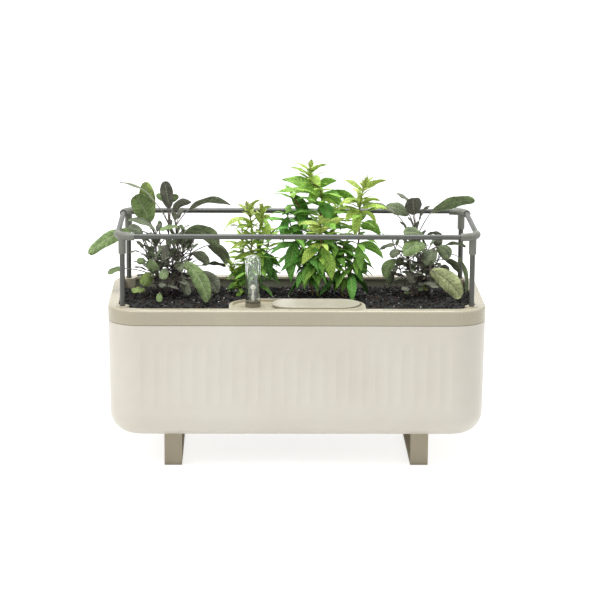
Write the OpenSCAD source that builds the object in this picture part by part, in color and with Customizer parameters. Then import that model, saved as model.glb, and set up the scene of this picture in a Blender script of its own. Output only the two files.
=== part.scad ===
// Self-watering herb planter.
// The pot is the water reservoir and stands on two sled feet. The planted insert hangs
// in it: a soil tub clipped under a rim frame, whose service deck carries the float
// gauge and the refill lid. A tube frame for tall plants is plugged into the rim.
// Origin: centre of the standing plane, +Z up, front towards -Y.

/* [Pot] */
// Width over the rim
pot_w = 600; // [520:10:700]
// Depth over the rim
pot_d = 290; // [270:5:360]
// Height from the pot's underside to the rim's top
pot_h = 208; // [190:2:240]
// Corner radius in plan
corner_r = 54; // [50:1:64]
// Radius of the rounded lower edge
bottom_fillet = 36; // [20:1:40]
// Draft of the outer wall, degrees
draft = 0.8; // [0.4:0.1:1.2]
// Wall and floor thickness of the pot
pot_wall = 3.5; // [2.5:0.5:4]

/* [Flutes] */
// Flutes along the straight part of the front and of the back
flute_count = 24; // [16:2:28]
// Depth of one flute at its middle
flute_depth = 0.7; // [0.6:0.1:1.6]
// Lower end of the flutes above the pot's underside
flute_low = 48; // [42:1:60]
// Upper end of the flutes below the rim's top
flute_top_gap = 46; // [40:1:60]
// Length over which a flute runs out at each end
flute_fade = 18; // [6:1:18]
// Flutes kept short under the bare panel in the middle
panel_flutes = 8; // [4:2:10]
// How much lower the short flutes end
panel_drop = 14; // [8:1:24]

/* [Rim frame] */
// Height of the band that shows above the pot
band_h = 24; // [20:1:30]
// Width of the flat rim
rim_w = 17; // [16:0.5:22]
// Thickness of the rim plate
rim_plate = 3; // [2.5:0.5:4]
// Thickness of the band
band_wall = 2.6; // [2:0.2:3]
// Rounding of the rim's outer top edge
rim_fillet = 4; // [2:0.5:6]
// Depth of the turned-down inner edge
rim_lip = 4.5; // [3.5:0.5:6]
// Shadow gap between the band and the pot's shoulder
shadow_gap = 0.8; // [0.5:0.1:1.5]

/* [Service deck] */
// Width of the deck
deck_w = 216; // [208:2:240]
// How far the deck reaches inwards from the rim's outer face
deck_reach = 93; // [90:1:104]
// Corner radius of the deck
deck_r = 48; // [40:1:52]
// Width of the raised lip round the recess
deck_lip = 5.5; // [4:0.5:8]
// Depth of the recess
deck_recess = 4; // [3:0.5:6]
// Height of the deck's skirt
deck_skirt = 24; // [20:1:32]
// Thickness of the deck's floor and skirt
deck_wall = 2.5; // [2:0.5:3]
// Length of the refill opening
filler_w = 112; // [90:2:116]
// Width of the refill opening
filler_d = 42; // [34:1:46]

/* [Refill lid] */
// Length of the lid
lid_w = 140; // [130:2:146]
// Thickness of the lid plate
lid_t = 2.6; // [2:0.2:3.4]
// Height of the lid's top above the rim
lid_rise = 2; // [1:0.5:3]
// Gap round the lid inside the recess
lid_gap = 2.5; // [1.5:0.5:4]

/* [Float gauge] */
// Distance of the gauge from the deck's middle
gauge_x = 70; // [66:1:76]
// Outer diameter of the clear tube
dome_d = 24.2; // [22:0.2:26]
// Wall of the clear tube
dome_wall = 2; // [1.5:0.1:2.5]
// Height of the clear tube above the rim
dome_h = 80; // [72:1:96]
// Height of the collar ring above the rim
collar_h = 3.2; // [2:0.2:5]
// Diameter of the indicator rod
rod_d = 4.8; // [4:0.2:5.4]
// Diameter of the ball on the rod
ball_d = 9; // [8:0.5:11]
// Height of the ball's centre above the rim
ball_z = 27; // [24:1:32]
// Diameter of the float
float_d = 30; // [26:1:32]
// Height of the float
float_h = 20; // [16:1:24]
// How far the float can sink from where it is shown
float_fall = 20; // [10:1:20]
// How far the float can rise from where it is shown
float_lift = 35; // [20:1:36]

/* [Soil tub] */
// Wall of the tub
tub_wall = 2.2; // [1.8:0.2:3]
// Draft of the tub's wall, degrees
tub_draft = 2; // [1:0.5:3]
// Rounding of the tub's lower edge
tub_fillet = 20; // [12:1:24]
// Depth of the reservoir below the tub
reservoir_h = 66; // [60:1:80]
// Distance of the wick baskets from the middle
basket_x = 180; // [150:5:190]
// Top radius of a wick basket
basket_r = 30; // [26:1:34]
// Slots round a wick basket
basket_slots = 12; // [8:1:16]

/* [Plant support] */
// Diameter of the tubes
tube_d = 8.3; // [7:0.1:10]
// Wall of the tubes
tube_wall = 1; // [0.8:0.1:1.4]
// Height of the rails' axes above the rim
rail_h = 113; // [90:1:160]
// Distance of the side rails from the rim's outer face
rail_side = 16.8; // [15:0.1:20]
// Distance of the front and back rails from the rim's outer face
rail_front = 25.8; // [24:0.1:30]
// Radius of the corner bends
bend_r = 26; // [24:1:34]
// Diameter of the corner connectors
joint_d = 12.3; // [11.8:0.1:13]
// Length of a connector's post socket below the rail axis
socket_h = 29; // [24:1:40]
// Diameter of the socket bosses in the rim
boss_d = 21; // [19:0.5:23]
// Depth of the sockets in the rim
boss_h = 38; // [30:1:44]

/* [Feet] */
// Height of the feet
foot_h = 55; // [40:1:70]
// Width of a foot
foot_w = 28; // [24:1:34]
// Length of a foot, front to back
foot_l = 210; // [190:2:212]
// Distance of the feet from the middle
foot_x = 197; // [170:1:210]
// Thickness of a foot with its edge ribs
foot_t = 5; // [4:0.5:6]
// Thickness of a foot between its ribs
foot_web = 2.6; // [2:0.2:3]
// Outer radius of a foot's bends
foot_r = 8; // [6:1:12]
// Length of a foot's top flange
flange_l = 26; // [24:1:32]
// Diameter of the foot screws
screw_d = 4; // [3:0.5:5]

/* [Drain] */
// Diameter of the drain plug
plug_d = 18; // [14:1:22]
// Distance of the drain plug behind the middle
plug_y = 62; // [50:1:66]

/* [Soil] */
// Height of the soil's crown below the rim
soil_gap = 9; // [8:1:16]
// How much the soil falls towards the walls
soil_crown = 12; // [8:1:14]

/* [Hidden] */
$fn = 64;
fit = 0.1;
rest_gap = 0.3;
half_x = pot_w / 2 - corner_r;
half_y = pot_d / 2 - corner_r;
rim_z = foot_h + pot_h;
band_z = rim_z - band_h;
shoulder_z = band_z - shadow_gap;
edge_t = 2.4;
edge_chamfer = 0.8;
tub_in = corner_r - rim_w + edge_t + fit;
tub_n = tub_in + tub_wall;
flange_t = 2.5;
flange_z = rim_z - rim_plate - flange_t;
tub_floor_z = foot_h + pot_wall + reservoir_h;
lip_gap = 0.8;
lip_out = corner_r - band_wall - lip_gap;
lip_t = 3.2;
deck_y = -pot_d / 2 + deck_reach;
recess_front = -pot_d / 2 + rim_w - 1;
recess_back = deck_y - deck_lip;
recess_d = recess_back - recess_front;
service_y = (recess_front + recess_back) / 2;
recess_z = rim_z - deck_recess;
lid_d = recess_d - 2 * lid_gap;
lid_x = deck_w / 2 - deck_lip - lid_gap - lid_w / 2;
rail_x = pot_w / 2 - rail_side;
rail_y = pot_d / 2 - rail_front;
rail_z = rim_z + rail_h;
bend_x = rail_x - bend_r;
bend_y = rail_y - bend_r;
post_x = bend_x + bend_r * cos(45);
post_y = bend_y + bend_r * sin(45);
arm_l = 1;
peg_l = 16;
float_z = foot_h + pot_wall + 1 + float_fall;
gauge_hole_r = dome_d / 2 - 3;
guide_wall = 1.8;
guide_d = float_d + 2 * (rest_gap + guide_wall);
basket_lip = 5;
leaf_t = 1.2;
stem_r = 2.2;
stalk_r = 1.3;

// Outward distance of the drafted outer wall from the corner's centre at a height
function wall_n(z) = corner_r - (rim_z - z) * tan(draft);

// A slice of a disc between two angles, with its tip drawn back into what it rounds
module pie(x, y, r, from, to) {
    mid = (from + to) / 2;
    tip = -r / 3 * [cos(mid), sin(mid)];
    translate([x, y])
        intersection() {
            circle(r = r);
            polygon([
                tip,
                tip + 3 * (r * [cos(from), sin(from)] - tip),
                3 * r * [cos(mid), sin(mid)],
                tip + 3 * (r * [cos(to), sin(to)] - tip)
            ]);
        }
}

// Half section of a drafted tray with a rounded lower edge, from the corner's centre out
module tray_section(top_n, low_z, top_z, slope, r) {
    c = top_n - (top_z - low_z - r + r * sin(slope)) * tan(slope) - r * cos(slope);
    polygon([
        [0, low_z], [c, low_z], [c, low_z + r],
        [c + r * cos(slope), low_z + r - r * sin(slope)],
        [top_n, top_z], [0, top_z]
    ]);
    pie(c, low_z + r, r, -90, -slope);
}

// Carries a half section round the rounded rectangle
module sweep_round() {
    for (turn = [0, 90, 180, 270])
        translate([
            half_x * (turn == 0 || turn == 270 ? 1 : -1),
            half_y * (turn < 180 ? 1 : -1),
            0
        ])
            rotate([0, 0, turn])
                rotate_extrude(angle = 90)
                    children();
    for (side = [0, 1])
        mirror([0, side, 0])
            translate([-half_x, half_y, 0])
                rotate([90, 0, 90])
                    linear_extrude(height = 2 * half_x)
                        children();
    for (side = [0, 1])
        mirror([side, 0, 0])
            translate([half_x, half_y, 0])
                rotate([90, 0, 0])
                    linear_extrude(height = 2 * half_y)
                        children();
}

// Fills the middle of a swept tray between two heights
module middle(low_z, high_z) {
    translate([-half_x, -half_y, low_z])
        cube([2 * half_x, 2 * half_y, high_z - low_z]);
}

// A tube along Z
module pipe(outer_r, inner_r, low_z, high_z) {
    difference() {
        translate([0, 0, low_z])
            cylinder(r = outer_r, h = high_z - low_z);
        translate([0, 0, low_z - 1])
            cylinder(r = inner_r, h = high_z - low_z + 2);
    }
}

// Cutter for one flute: a large cylinder that runs out in a cone at each end
module flute_cutter(length) {
    half_w = half_x / flute_count + 0.2;
    r = (half_w * half_w + flute_depth * flute_depth) / (2 * flute_depth);
    translate([0, -r + flute_depth, 0])
        rotate_extrude()
            polygon([
                [0, 0], [r - flute_depth, 0], [r, flute_fade],
                [r, length - flute_fade], [r - flute_depth, length], [0, length]
            ]);
}

// The flutes of the front wall; the ones under the panel end lower
module front_flutes() {
    pitch = 2 * half_x / flute_count;
    low_z = foot_h + flute_low;
    high_z = rim_z - flute_top_gap;
    for (i = [0 : flute_count - 1]) {
        in_panel = abs(i + 0.5 - flute_count / 2) < panel_flutes / 2;
        length = high_z - low_z - (in_panel ? panel_drop : 0);
        translate([(i + 0.5) * pitch - half_x, -half_y - wall_n(low_z), low_z])
            rotate([draft, 0, 0])
                flute_cutter(length);
    }
    for (side = [-1, 1])
        translate([side * half_x, -half_y, low_z])
            rotate([0, 0, side * pitch / 2 / corner_r * 180 / PI])
                translate([0, -wall_n(low_z), 0])
                    rotate([draft, 0, 0])
                        flute_cutter(high_z - low_z);
}

// Half section of the set-in lip that rises under the band
module lip_section() {
    mid_n = wall_n(shoulder_z) - pot_wall / 2;
    lip_in = lip_out - lip_t;
    polygon([
        [lip_in, flange_z - rest_gap], [lip_out, flange_z - rest_gap],
        [lip_out, shoulder_z], [mid_n, shoulder_z],
        [mid_n, shoulder_z - 12], [lip_in, shoulder_z - 6]
    ]);
}

// Where the foot screws go: two in each of the four flanges
module at_foot_screws() {
    for (x = [-foot_x, foot_x], y = [-1, 1], step = [-1, 1])
        translate([x + step * foot_w / 4, y * (foot_l / 2 - foot_t - flange_l / 2), 0])
            children();
}

// Cream pot, moulded in one piece
module outer_pot() {
    color("#e3dccf")
        difference() {
            union() {
                difference() {
                    union() {
                        sweep_round()
                            tray_section(corner_r, foot_h, rim_z, draft, bottom_fillet);
                        middle(foot_h, rim_z);
                    }
                    union() {
                        sweep_round()
                            tray_section(
                                corner_r - pot_wall, foot_h + pot_wall, rim_z + 1, draft,
                                bottom_fillet - pot_wall
                            );
                        middle(foot_h + pot_wall, rim_z + 1);
                    }
                    translate([-pot_w, -pot_d, shoulder_z])
                        cube([2 * pot_w, 2 * pot_d, pot_h]);
                }
                sweep_round()
                    lip_section();
                at_foot_screws()
                    translate([0, 0, foot_h + pot_wall / 2])
                        cylinder(r = screw_d / 2 + 3, h = pot_wall / 2 + 9);
            }
            for (side = [0, 1])
                mirror([0, side, 0])
                    front_flutes();
            at_foot_screws()
                translate([0, 0, foot_h - 1])
                    cylinder(r = screw_d / 2 + fit, h = pot_wall + 8);
            translate([0, plug_y, foot_h - 1])
                cylinder(r = plug_d / 2 + fit, h = pot_wall + 2);
        }
}

// Side outline of a U-shaped foot, inset from its outer faces
module foot_outline(inset, top_z) {
    r = max(foot_r - inset, 1);
    out = foot_l / 2 - inset;
    translate([-out + r, inset])
        square([2 * out - 2 * r, top_z - inset]);
    translate([-out, inset + r])
        square([2 * out, top_z - inset - r]);
    for (y = [-out + r, out - r])
        translate([y, inset + r])
            circle(r = r);
}

// Sled foot: a strap bent to a U, ribbed along both edges, with two screw flanges
module sled_foot() {
    rib = 3;
    color("#a69c86")
        difference() {
            translate([-foot_w / 2, 0, 0])
                rotate([90, 0, 90])
                    linear_extrude(height = foot_w)
                        difference() {
                            foot_outline(0, foot_h);
                            foot_outline(foot_t, foot_h - foot_t);
                            translate([-foot_l / 2 + foot_t + flange_l, foot_h / 2])
                                square([foot_l - 2 * foot_t - 2 * flange_l, foot_h]);
                        }
            translate([-foot_w / 2 + rib, 0, 0])
                rotate([90, 0, 90])
                    linear_extrude(height = foot_w - 2 * rib)
                        foot_outline(foot_web, foot_h - foot_t);
            for (y = [-1, 1], step = [-1, 1])
                translate([
                    step * foot_w / 4, y * (foot_l / 2 - foot_t - flange_l / 2), foot_h / 2
                ])
                    cylinder(r = screw_d / 2 + 2 * fit, h = foot_h);
        }
}

module left_foot() {
    translate([-foot_x, 0, 0])
        sled_foot();
}

module right_foot() {
    translate([foot_x, 0, 0])
        sled_foot();
}

// Pan head screws, up through the flanges into the pot's bosses
module foot_screws() {
    head_h = 2.6;
    color("silver")
        at_foot_screws() {
            translate([0, 0, foot_h - foot_t - head_h])
                cylinder(r = screw_d - 0.4, h = head_h);
            translate([0, 0, foot_h - foot_t])
                cylinder(r = screw_d / 2, h = foot_t + pot_wall + 5);
        }
}

// Rubber bung in the pot's floor, with a grip below
module drain_plug() {
    color("#3a3a38")
        translate([0, plug_y, foot_h]) {
            translate([0, 0, -rest_gap])
                cylinder(r = plug_d / 2, h = pot_wall + 2);
            translate([0, 0, -rest_gap - 3.5])
                cylinder(r = plug_d / 2 + 4, h = 3.5);
            translate([0, 0, -rest_gap - 9])
                cylinder(r = plug_d / 4, h = 6);
        }
}

// Plan outline of the deck, inset all round; it runs straight out to front_y
module deck_shape(inset, front_y) {
    x = deck_w / 2 - deck_r;
    y = deck_y - deck_r;
    r = deck_r - inset;
    translate([-x - r, front_y])
        square([2 * x + 2 * r, y - front_y]);
    translate([-x, front_y])
        square([2 * x, y + r - front_y]);
    for (side = [-x, x])
        translate([side, y])
            intersection() {
                circle(r = r);
                translate([-2 * r, -r / 4])
                    square([4 * r, 2 * r]);
            }
}

// A stadium, centred
module stadium(w, d) {
    x = w / 2 - d / 2;
    translate([-x, -d / 2])
        square([2 * x, d]);
    for (end = [-x, x])
        translate([end, 0])
            circle(d = d);
}

// Prism that keeps the soil tub clear of the service well
module well(inset, low_z, high_z) {
    translate([0, 0, low_z])
        linear_extrude(height = high_z - low_z)
            deck_shape(inset, -pot_d);
}

// The four socket bosses, at a given radius
module boss_columns(r, low_z, high_z) {
    for (x = [-post_x, post_x], y = [-post_y, post_y])
        translate([x, y, low_z])
            cylinder(r = r, h = high_z - low_z);
}

// Soil liner with a flange that lies on the pot's lip and a wall round the service well
module inner_tub() {
    top_z = flange_z + flange_t;
    skin = deck_wall + fit;
    color("#4e5042")
        difference() {
            union() {
                sweep_round() {
                    tray_section(tub_n, tub_floor_z, top_z, tub_draft, tub_fillet);
                    translate([tub_in + tub_wall / 2, flange_z])
                        square([lip_out - rest_gap - tub_in - tub_wall / 2, flange_t]);
                }
                middle(tub_floor_z, top_z);
            }
            well(skin + tub_wall, tub_floor_z - 1, rim_z + 1);
            difference() {
                union() {
                    sweep_round()
                        tray_section(
                            tub_in, tub_floor_z + tub_wall, top_z + 1, tub_draft,
                            tub_fillet - tub_wall
                        );
                    middle(tub_floor_z + tub_wall, top_z + 1);
                }
                well(skin, tub_floor_z, flange_z - 3);
            }
            boss_columns(boss_d / 2 + rest_gap, rim_z - boss_h - rest_gap, rim_z);
            for (x = [-basket_x, basket_x])
                translate([x, 0, tub_floor_z - 1])
                    cylinder(r = basket_r + 2 * fit, h = tub_wall + 2);
        }
}

// Slotted cup that hangs through the tub's floor into the water
module wick_basket() {
    low_z = foot_h + pot_wall + 3;
    high_z = tub_floor_z + tub_wall;
    taper = 5;
    wall = 2;
    color("#4e5042")
        difference() {
            rotate_extrude()
                polygon([
                    [0, low_z], [basket_r - taper, low_z], [basket_r, tub_floor_z],
                    [basket_r, high_z], [basket_r + basket_lip, high_z],
                    [basket_r + basket_lip, high_z + 2],
                    [basket_r - wall, high_z + 2], [basket_r - wall, tub_floor_z],
                    [basket_r - taper - wall, low_z + wall], [0, low_z + wall]
                ]);
            for (i = [0 : basket_slots - 1])
                rotate([0, 0, (i + 0.5) * 360 / basket_slots])
                    translate([basket_r / 2, -2, low_z + 5])
                        cube([basket_r, 4, tub_floor_z - low_z - 12]);
            for (i = [0 : basket_slots / 2 - 1])
                rotate([0, 0, (i + 0.5) * 720 / basket_slots])
                    translate([basket_r / 4, -1.5, low_z - 1])
                        cube([basket_r / 3, 3, wall + 2]);
        }
}

module wick_basket_left() {
    translate([-basket_x, 0, 0])
        wick_basket();
}

module wick_basket_right() {
    translate([basket_x, 0, 0])
        wick_basket();
}

// Half section of the rim: band, rounded edge, flat plate and turned-down inner edge
module rim_section() {
    in_n = corner_r - rim_w;
    skirt_in = corner_r - band_wall;
    out_n = corner_r - rim_fillet;
    inner = [skirt_in, rim_z - rim_plate];
    knee = inner + [band_wall, rim_plate] / 4;
    edge_low = [corner_r, rim_z - rim_fillet];
    edge_high = [out_n, rim_z];
    polygon([
        [in_n, rim_z - rim_lip], [in_n + edge_t, rim_z - rim_lip],
        [in_n + edge_t, rim_z - rim_plate], inner,
        [skirt_in, band_z], [wall_n(band_z), band_z], edge_low, knee, edge_high,
        [in_n + edge_chamfer, rim_z], [in_n, rim_z - edge_chamfer]
    ]);
    intersection() {
        translate([out_n, rim_z - rim_fillet])
            circle(r = rim_fillet);
        polygon([
            inner, inner + 4 * (edge_low - inner), inner + 8 * ([corner_r, rim_z] - inner),
            inner + 4 * (edge_high - inner)
        ]);
    }
}

// Taupe frame: rim, socket bosses and the service deck in one moulding
module rim_frame() {
    front_y = -pot_d / 2 + rim_w - edge_t + fit;
    skirt_front = -pot_d / 2 + rim_w;
    plate_z = recess_z - deck_wall;
    color("#cfc6b2")
        difference() {
            union() {
                sweep_round()
                    rim_section();
                boss_columns(boss_d / 2, rim_z - boss_h, rim_z + 1);
                translate([0, 0, plate_z])
                    linear_extrude(height = rim_z - plate_z)
                        deck_shape(0, front_y);
                difference() {
                    translate([0, 0, rim_z - deck_skirt])
                        linear_extrude(height = deck_skirt)
                            deck_shape(0, skirt_front);
                    translate([0, 0, rim_z - deck_skirt - 1])
                        linear_extrude(height = deck_skirt + 2)
                            deck_shape(deck_wall, skirt_front - 1);
                }
            }
            translate([0, service_y, recess_z])
                linear_extrude(height = deck_recess + 1)
                    stadium(deck_w - 2 * deck_lip, recess_d);
            translate([lid_x, service_y, plate_z - 1])
                linear_extrude(height = deck_wall + 2)
                    stadium(filler_w, filler_d);
            translate([-gauge_x, service_y, plate_z - 1])
                cylinder(r = gauge_hole_r, h = deck_wall + 2);
            boss_columns(tube_d / 2 + fit, rim_z - boss_h + 4, rim_z + 2);
            boss_columns(tube_d / 2 + 0.7, rim_z - 0.5, rim_z + 2);
        }
}

// Collar of the gauge: a ring on the deck, with a spigot down and one up into the tube
module gauge_collar() {
    low_z = recess_z - deck_wall - 1;
    high_z = rim_z + collar_h + 3;
    color("#8a8676")
        translate([-gauge_x, service_y, 0])
            difference() {
                union() {
                    translate([0, 0, recess_z])
                        cylinder(r = dome_d / 2 + 0.2, h = deck_recess + collar_h);
                    translate([0, 0, low_z])
                        cylinder(r = gauge_hole_r - fit, h = deck_wall + 2);
                    translate([0, 0, rim_z])
                        cylinder(r = dome_d / 2 - dome_wall - fit, h = high_z - rim_z);
                }
                translate([0, 0, low_z - 1])
                    cylinder(r = ball_d / 2 + 1.5, h = high_z - low_z + 2);
            }
}

// Clear tube with a domed top and a small foot ring
module gauge_dome() {
    r = dome_d / 2;
    low_z = rim_z + collar_h;
    top_z = rim_z + dome_h - r;
    color("#d8dedb", 0.35)
        translate([-gauge_x, service_y, 0])
            rotate_extrude()
                difference() {
                    intersection() {
                        union() {
                            translate([0, low_z])
                                square([r, top_z - low_z]);
                            translate([0, low_z])
                                square([r + 0.5, 2.5]);
                            translate([0, top_z])
                                circle(r = r);
                        }
                        translate([0, low_z])
                            square([r + 1, dome_h]);
                    }
                    translate([-1, low_z - 1])
                        square([r - dome_wall + 1, top_z - low_z + 1]);
                    translate([0, top_z])
                        circle(r = r - dome_wall);
                }
}

// Indicator rod: a ball on a slim neck and a rod down to the float
module indicator_rod() {
    neck_z = rim_z + ball_z - 14;
    color("#e9e6d2")
        translate([-gauge_x, service_y, 0])
            rotate_extrude()
                difference() {
                    union() {
                        translate([0, float_z + 3])
                            square([rod_d / 2, neck_z - float_z - 3]);
                        polygon([
                            [0, neck_z], [rod_d / 2, neck_z], [rod_d / 3, neck_z + 2],
                            [rod_d / 3, rim_z + ball_z], [0, rim_z + ball_z]
                        ]);
                        translate([0, rim_z + ball_z])
                            circle(r = ball_d / 2);
                    }
                    translate([-ball_d, float_z])
                        square([ball_d, pot_h + dome_h]);
                }
}

// Hollow float, moulded closed, with a blind socket for the rod
module float_body() {
    r = float_d / 2;
    edge = 3;
    color("#d9d4c4")
        translate([-gauge_x, service_y, float_z])
            difference() {
                rotate_extrude()
                    polygon([
                        [0, 0], [r - edge, 0], [r, edge], [r, float_h - edge],
                        [r - edge, float_h], [0, float_h]
                    ]);
                translate([0, 0, 3])
                    cylinder(r = rod_d / 2 + fit / 2, h = float_h);
            }
}

// Slotted guide tube that hangs from the deck and keeps the float upright
module float_guide() {
    top_z = recess_z - deck_wall;
    low_z = foot_h + pot_wall + 4;
    slot_z = low_z + 8;
    color("#8a8676")
        translate([-gauge_x, service_y, 0])
            difference() {
                union() {
                    pipe(guide_d / 2, guide_d / 2 - guide_wall, low_z, top_z);
                    pipe(guide_d / 2 + 4, gauge_hole_r, top_z - 2, top_z);
                }
                for (turn = [0, 90])
                    rotate([0, 0, turn])
                        translate([-guide_d, -3, slot_z])
                            cube([2 * guide_d, 6, top_z - 20 - slot_z]);
            }
}

// Refill lid: a round-edged plate, a foot ring on the recess floor and a locating ring
module refill_lid() {
    top_z = rim_z + lid_rise;
    under_z = top_z - lid_t;
    edge = 1.2;
    r = lid_d / 2;
    ring_w = filler_w - 1.2;
    ring_d = filler_d - 1.2;
    color("#d8cfbc")
        translate([lid_x, service_y, 0]) {
            stadium_sweep(lid_w / 2 - r) {
                polygon([
                    [0, under_z], [r - 0.6, under_z], [r, under_z + 0.6], [r, top_z - edge],
                    [r - edge, top_z - edge], [r - edge, top_z], [0, top_z]
                ]);
                pie(r - edge, top_z - edge, edge, 0, 90);
            }
            ring(lid_w - 8, lid_d - 8, 2, recess_z + rest_gap, under_z + 0.5);
            ring(ring_w, ring_d, 1.8, recess_z - deck_wall - 3, under_z + 0.5);
        }
}

// Carries a half section round a stadium and fills its middle
module stadium_sweep(half_len) {
    for (side = [0, 1])
        mirror([side, 0, 0])
            translate([half_len, 0, 0])
                rotate([0, 0, -90])
                    rotate_extrude(angle = 180)
                        children();
    for (side = [0, 1])
        mirror([0, side, 0])
            translate([-half_len, 0, 0])
                rotate([90, 0, 90])
                    linear_extrude(height = 2 * half_len)
                        children();
}

// An upright stadium ring
module ring(w, d, wall, low_z, high_z) {
    translate([0, 0, low_z])
        linear_extrude(height = high_z - low_z)
            difference() {
                stadium(w, d);
                stadium(w - 2 * wall, d - 2 * wall);
            }
}

// Planting mix: fills the tub to a low crown and reaches down into the wick baskets
module potting_soil() {
    n = tub_in - rest_gap;
    low_z = tub_floor_z + tub_wall + rest_gap;
    top_z = rim_z - soil_gap;
    reach = half_y + n;
    crown_r = (reach * reach + soil_crown * soil_crown) / (2 * soil_crown);
    basket_z = foot_h + pot_wall + 3 + 2 + rest_gap;
    color("#2b2622")
        difference() {
            union() {
                intersection() {
                    union() {
                        sweep_round()
                            tray_section(n, low_z, rim_z, tub_draft, tub_fillet - tub_wall);
                        middle(low_z, rim_z);
                    }
                    translate([-pot_w, 0, top_z - crown_r])
                        rotate([0, 90, 0])
                            cylinder(r = crown_r, h = 2 * pot_w, $fn = 256);
                }
                for (x = [-basket_x, basket_x])
                    translate([x, 0, basket_z])
                        cylinder(
                            r1 = basket_r - 8.5, r2 = basket_r - 3.5,
                            h = low_z + 5 - basket_z
                        );
            }
            well(-rest_gap, foot_h, rim_z + 1);
            boss_columns(boss_d / 2 + rest_gap, rim_z - boss_h - 2 * rest_gap, rim_z + 2);
            for (x = [-basket_x, basket_x])
                translate([x, 0, 0])
                    pipe(
                        basket_r + basket_lip + rest_gap, basket_r - 2.5,
                        tub_floor_z, tub_floor_z + tub_wall + 2 + rest_gap
                    );
        }
}

// One post, from its socket in the rim up into the corner connector
module post(x, y) {
    color("#55564f")
        translate([x, y, 0])
            pipe(tube_d / 2, tube_d / 2 - tube_wall, rim_z - boss_h + 4.5, rail_z - 9);
}

module post_front_left() {
    post(-post_x, -post_y);
}

module post_front_right() {
    post(post_x, -post_y);
}

module post_back_left() {
    post(-post_x, post_y);
}

module post_back_right() {
    post(post_x, post_y);
}

// Corner connector: a quarter bend with a recess and peg for each rail, and a post socket
module corner_connector() {
    r = joint_d / 2;
    sink = 2.5;
    color("#767870")
        translate([bend_x, bend_y, rail_z]) {
            difference() {
                union() {
                    rotate_extrude(angle = 90)
                        translate([bend_r, 0])
                            circle(r = r);
                    translate([bend_r, 0, 0])
                        rotate([90, 0, 0])
                            cylinder(r = r, h = arm_l);
                    translate([0, bend_r, 0])
                        rotate([0, -90, 0])
                            cylinder(r = r, h = arm_l);
                    translate([post_x - bend_x, post_y - bend_y, -socket_h])
                        rotate_extrude()
                            polygon([
                                [0, 0], [r - 1.1, 0], [r - 0.2, 1.4],
                                [r - 0.2, socket_h], [0, socket_h]
                            ]);
                }
                translate([bend_r, sink - arm_l, 0])
                    rotate([90, 0, 0])
                        cylinder(r = tube_d / 2 + 0.3, h = sink + 1);
                translate([sink - arm_l, bend_r, 0])
                    rotate([0, -90, 0])
                        cylinder(r = tube_d / 2 + 0.3, h = sink + 1);
                translate([post_x - bend_x, post_y - bend_y, -socket_h - 1])
                    cylinder(r = tube_d / 2 + fit, h = socket_h - 7);
            }
            translate([bend_r, sink - arm_l + 0.5, 0])
                rotate([90, 0, 0])
                    cylinder(r = tube_d / 2 - tube_wall - fit, h = peg_l);
            translate([sink - arm_l + 0.5, bend_r, 0])
                rotate([0, -90, 0])
                    cylinder(r = tube_d / 2 - tube_wall - fit, h = peg_l);
        }
}

module connector_back_right() {
    corner_connector();
}

module connector_back_left() {
    mirror([1, 0, 0])
        corner_connector();
}

module connector_front_right() {
    mirror([0, 1, 0])
        corner_connector();
}

module connector_front_left() {
    mirror([1, 0, 0])
        mirror([0, 1, 0])
            corner_connector();
}

// Rails run from recess to recess, over the connectors' pegs
module long_rail(y) {
    half = bend_x - arm_l + 2;
    color("#55564f")
        translate([0, y, rail_z])
            rotate([0, 90, 0])
                pipe(tube_d / 2, tube_d / 2 - tube_wall, -half, half);
}

module side_rail(x) {
    half = bend_y - arm_l + 2;
    color("#55564f")
        translate([x, 0, rail_z])
            rotate([90, 0, 0])
                pipe(tube_d / 2, tube_d / 2 - tube_wall, -half, half);
}

module front_rail() {
    long_rail(-rail_y);
}

module back_rail() {
    long_rail(rail_y);
}

module left_rail() {
    side_rail(-rail_x);
}

module right_rail() {
    side_rail(rail_x);
}

// Half width of a blade along its length, 1 at the widest; a low blunt makes it pointed
function blade_width(t, blunt) = pow(sin(180 * pow(t, 0.8)), 1.1 - 0.5 * blunt);

// One leaf blade between two points, bowed upwards by arch. At turn 0 its broad side
// faces the front, at 90 it faces up. The section is a shallow V with sharp edges.
module blade(from, to, w, arch, turn, blunt) {
    steps = [0.12, 0.35, 0.6, 0.85];
    chord = (to - from) / norm(to - from);
    view = [0.1, -1, 0.2];
    flat = view - (view * chord) * chord;
    front = flat / norm(flat);
    face = cos(turn) * front + sin(turn) * cross(chord, front);
    side = cross(chord, face);
    lift = [0, 0, 1] - chord[2] * chord - 0.15 * front;
    bow = 2 * arch * lift / norm(lift);
    spine = function(t) from + t * (to - from) + 2 * t * (1 - t) * bow;
    sections = [
        for (t = steps)
            let (
                along = to - from + (2 - 4 * t) * bow,
                out = cross(side, along / norm(along)),
                half = w / 2 * blade_width(t, blunt)
            )
            each [
                spine(t) - half * side - 0.2 * half * out,
                spine(t) - leaf_t / 2 * out,
                spine(t) + half * side - 0.2 * half * out,
                spine(t) + leaf_t / 2 * out
            ]
    ];
    tip = 4 * len(steps);
    polyhedron(
        points = concat(sections, [to, from]),
        faces = [
            for (i = [0 : 3])
                each [[tip + 1, (i + 1) % 4, i], [tip, tip - 4 + i, tip - 4 + (i + 1) % 4]],
            for (k = [0 : len(steps) - 2], i = [0 : 3])
                each [
                    [4 * k + i, 4 * k + (i + 1) % 4, 4 * k + 4 + i],
                    [4 * k + (i + 1) % 4, 4 * k + 4 + (i + 1) % 4, 4 * k + 4 + i]
                ]
        ]
    );
}

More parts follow.
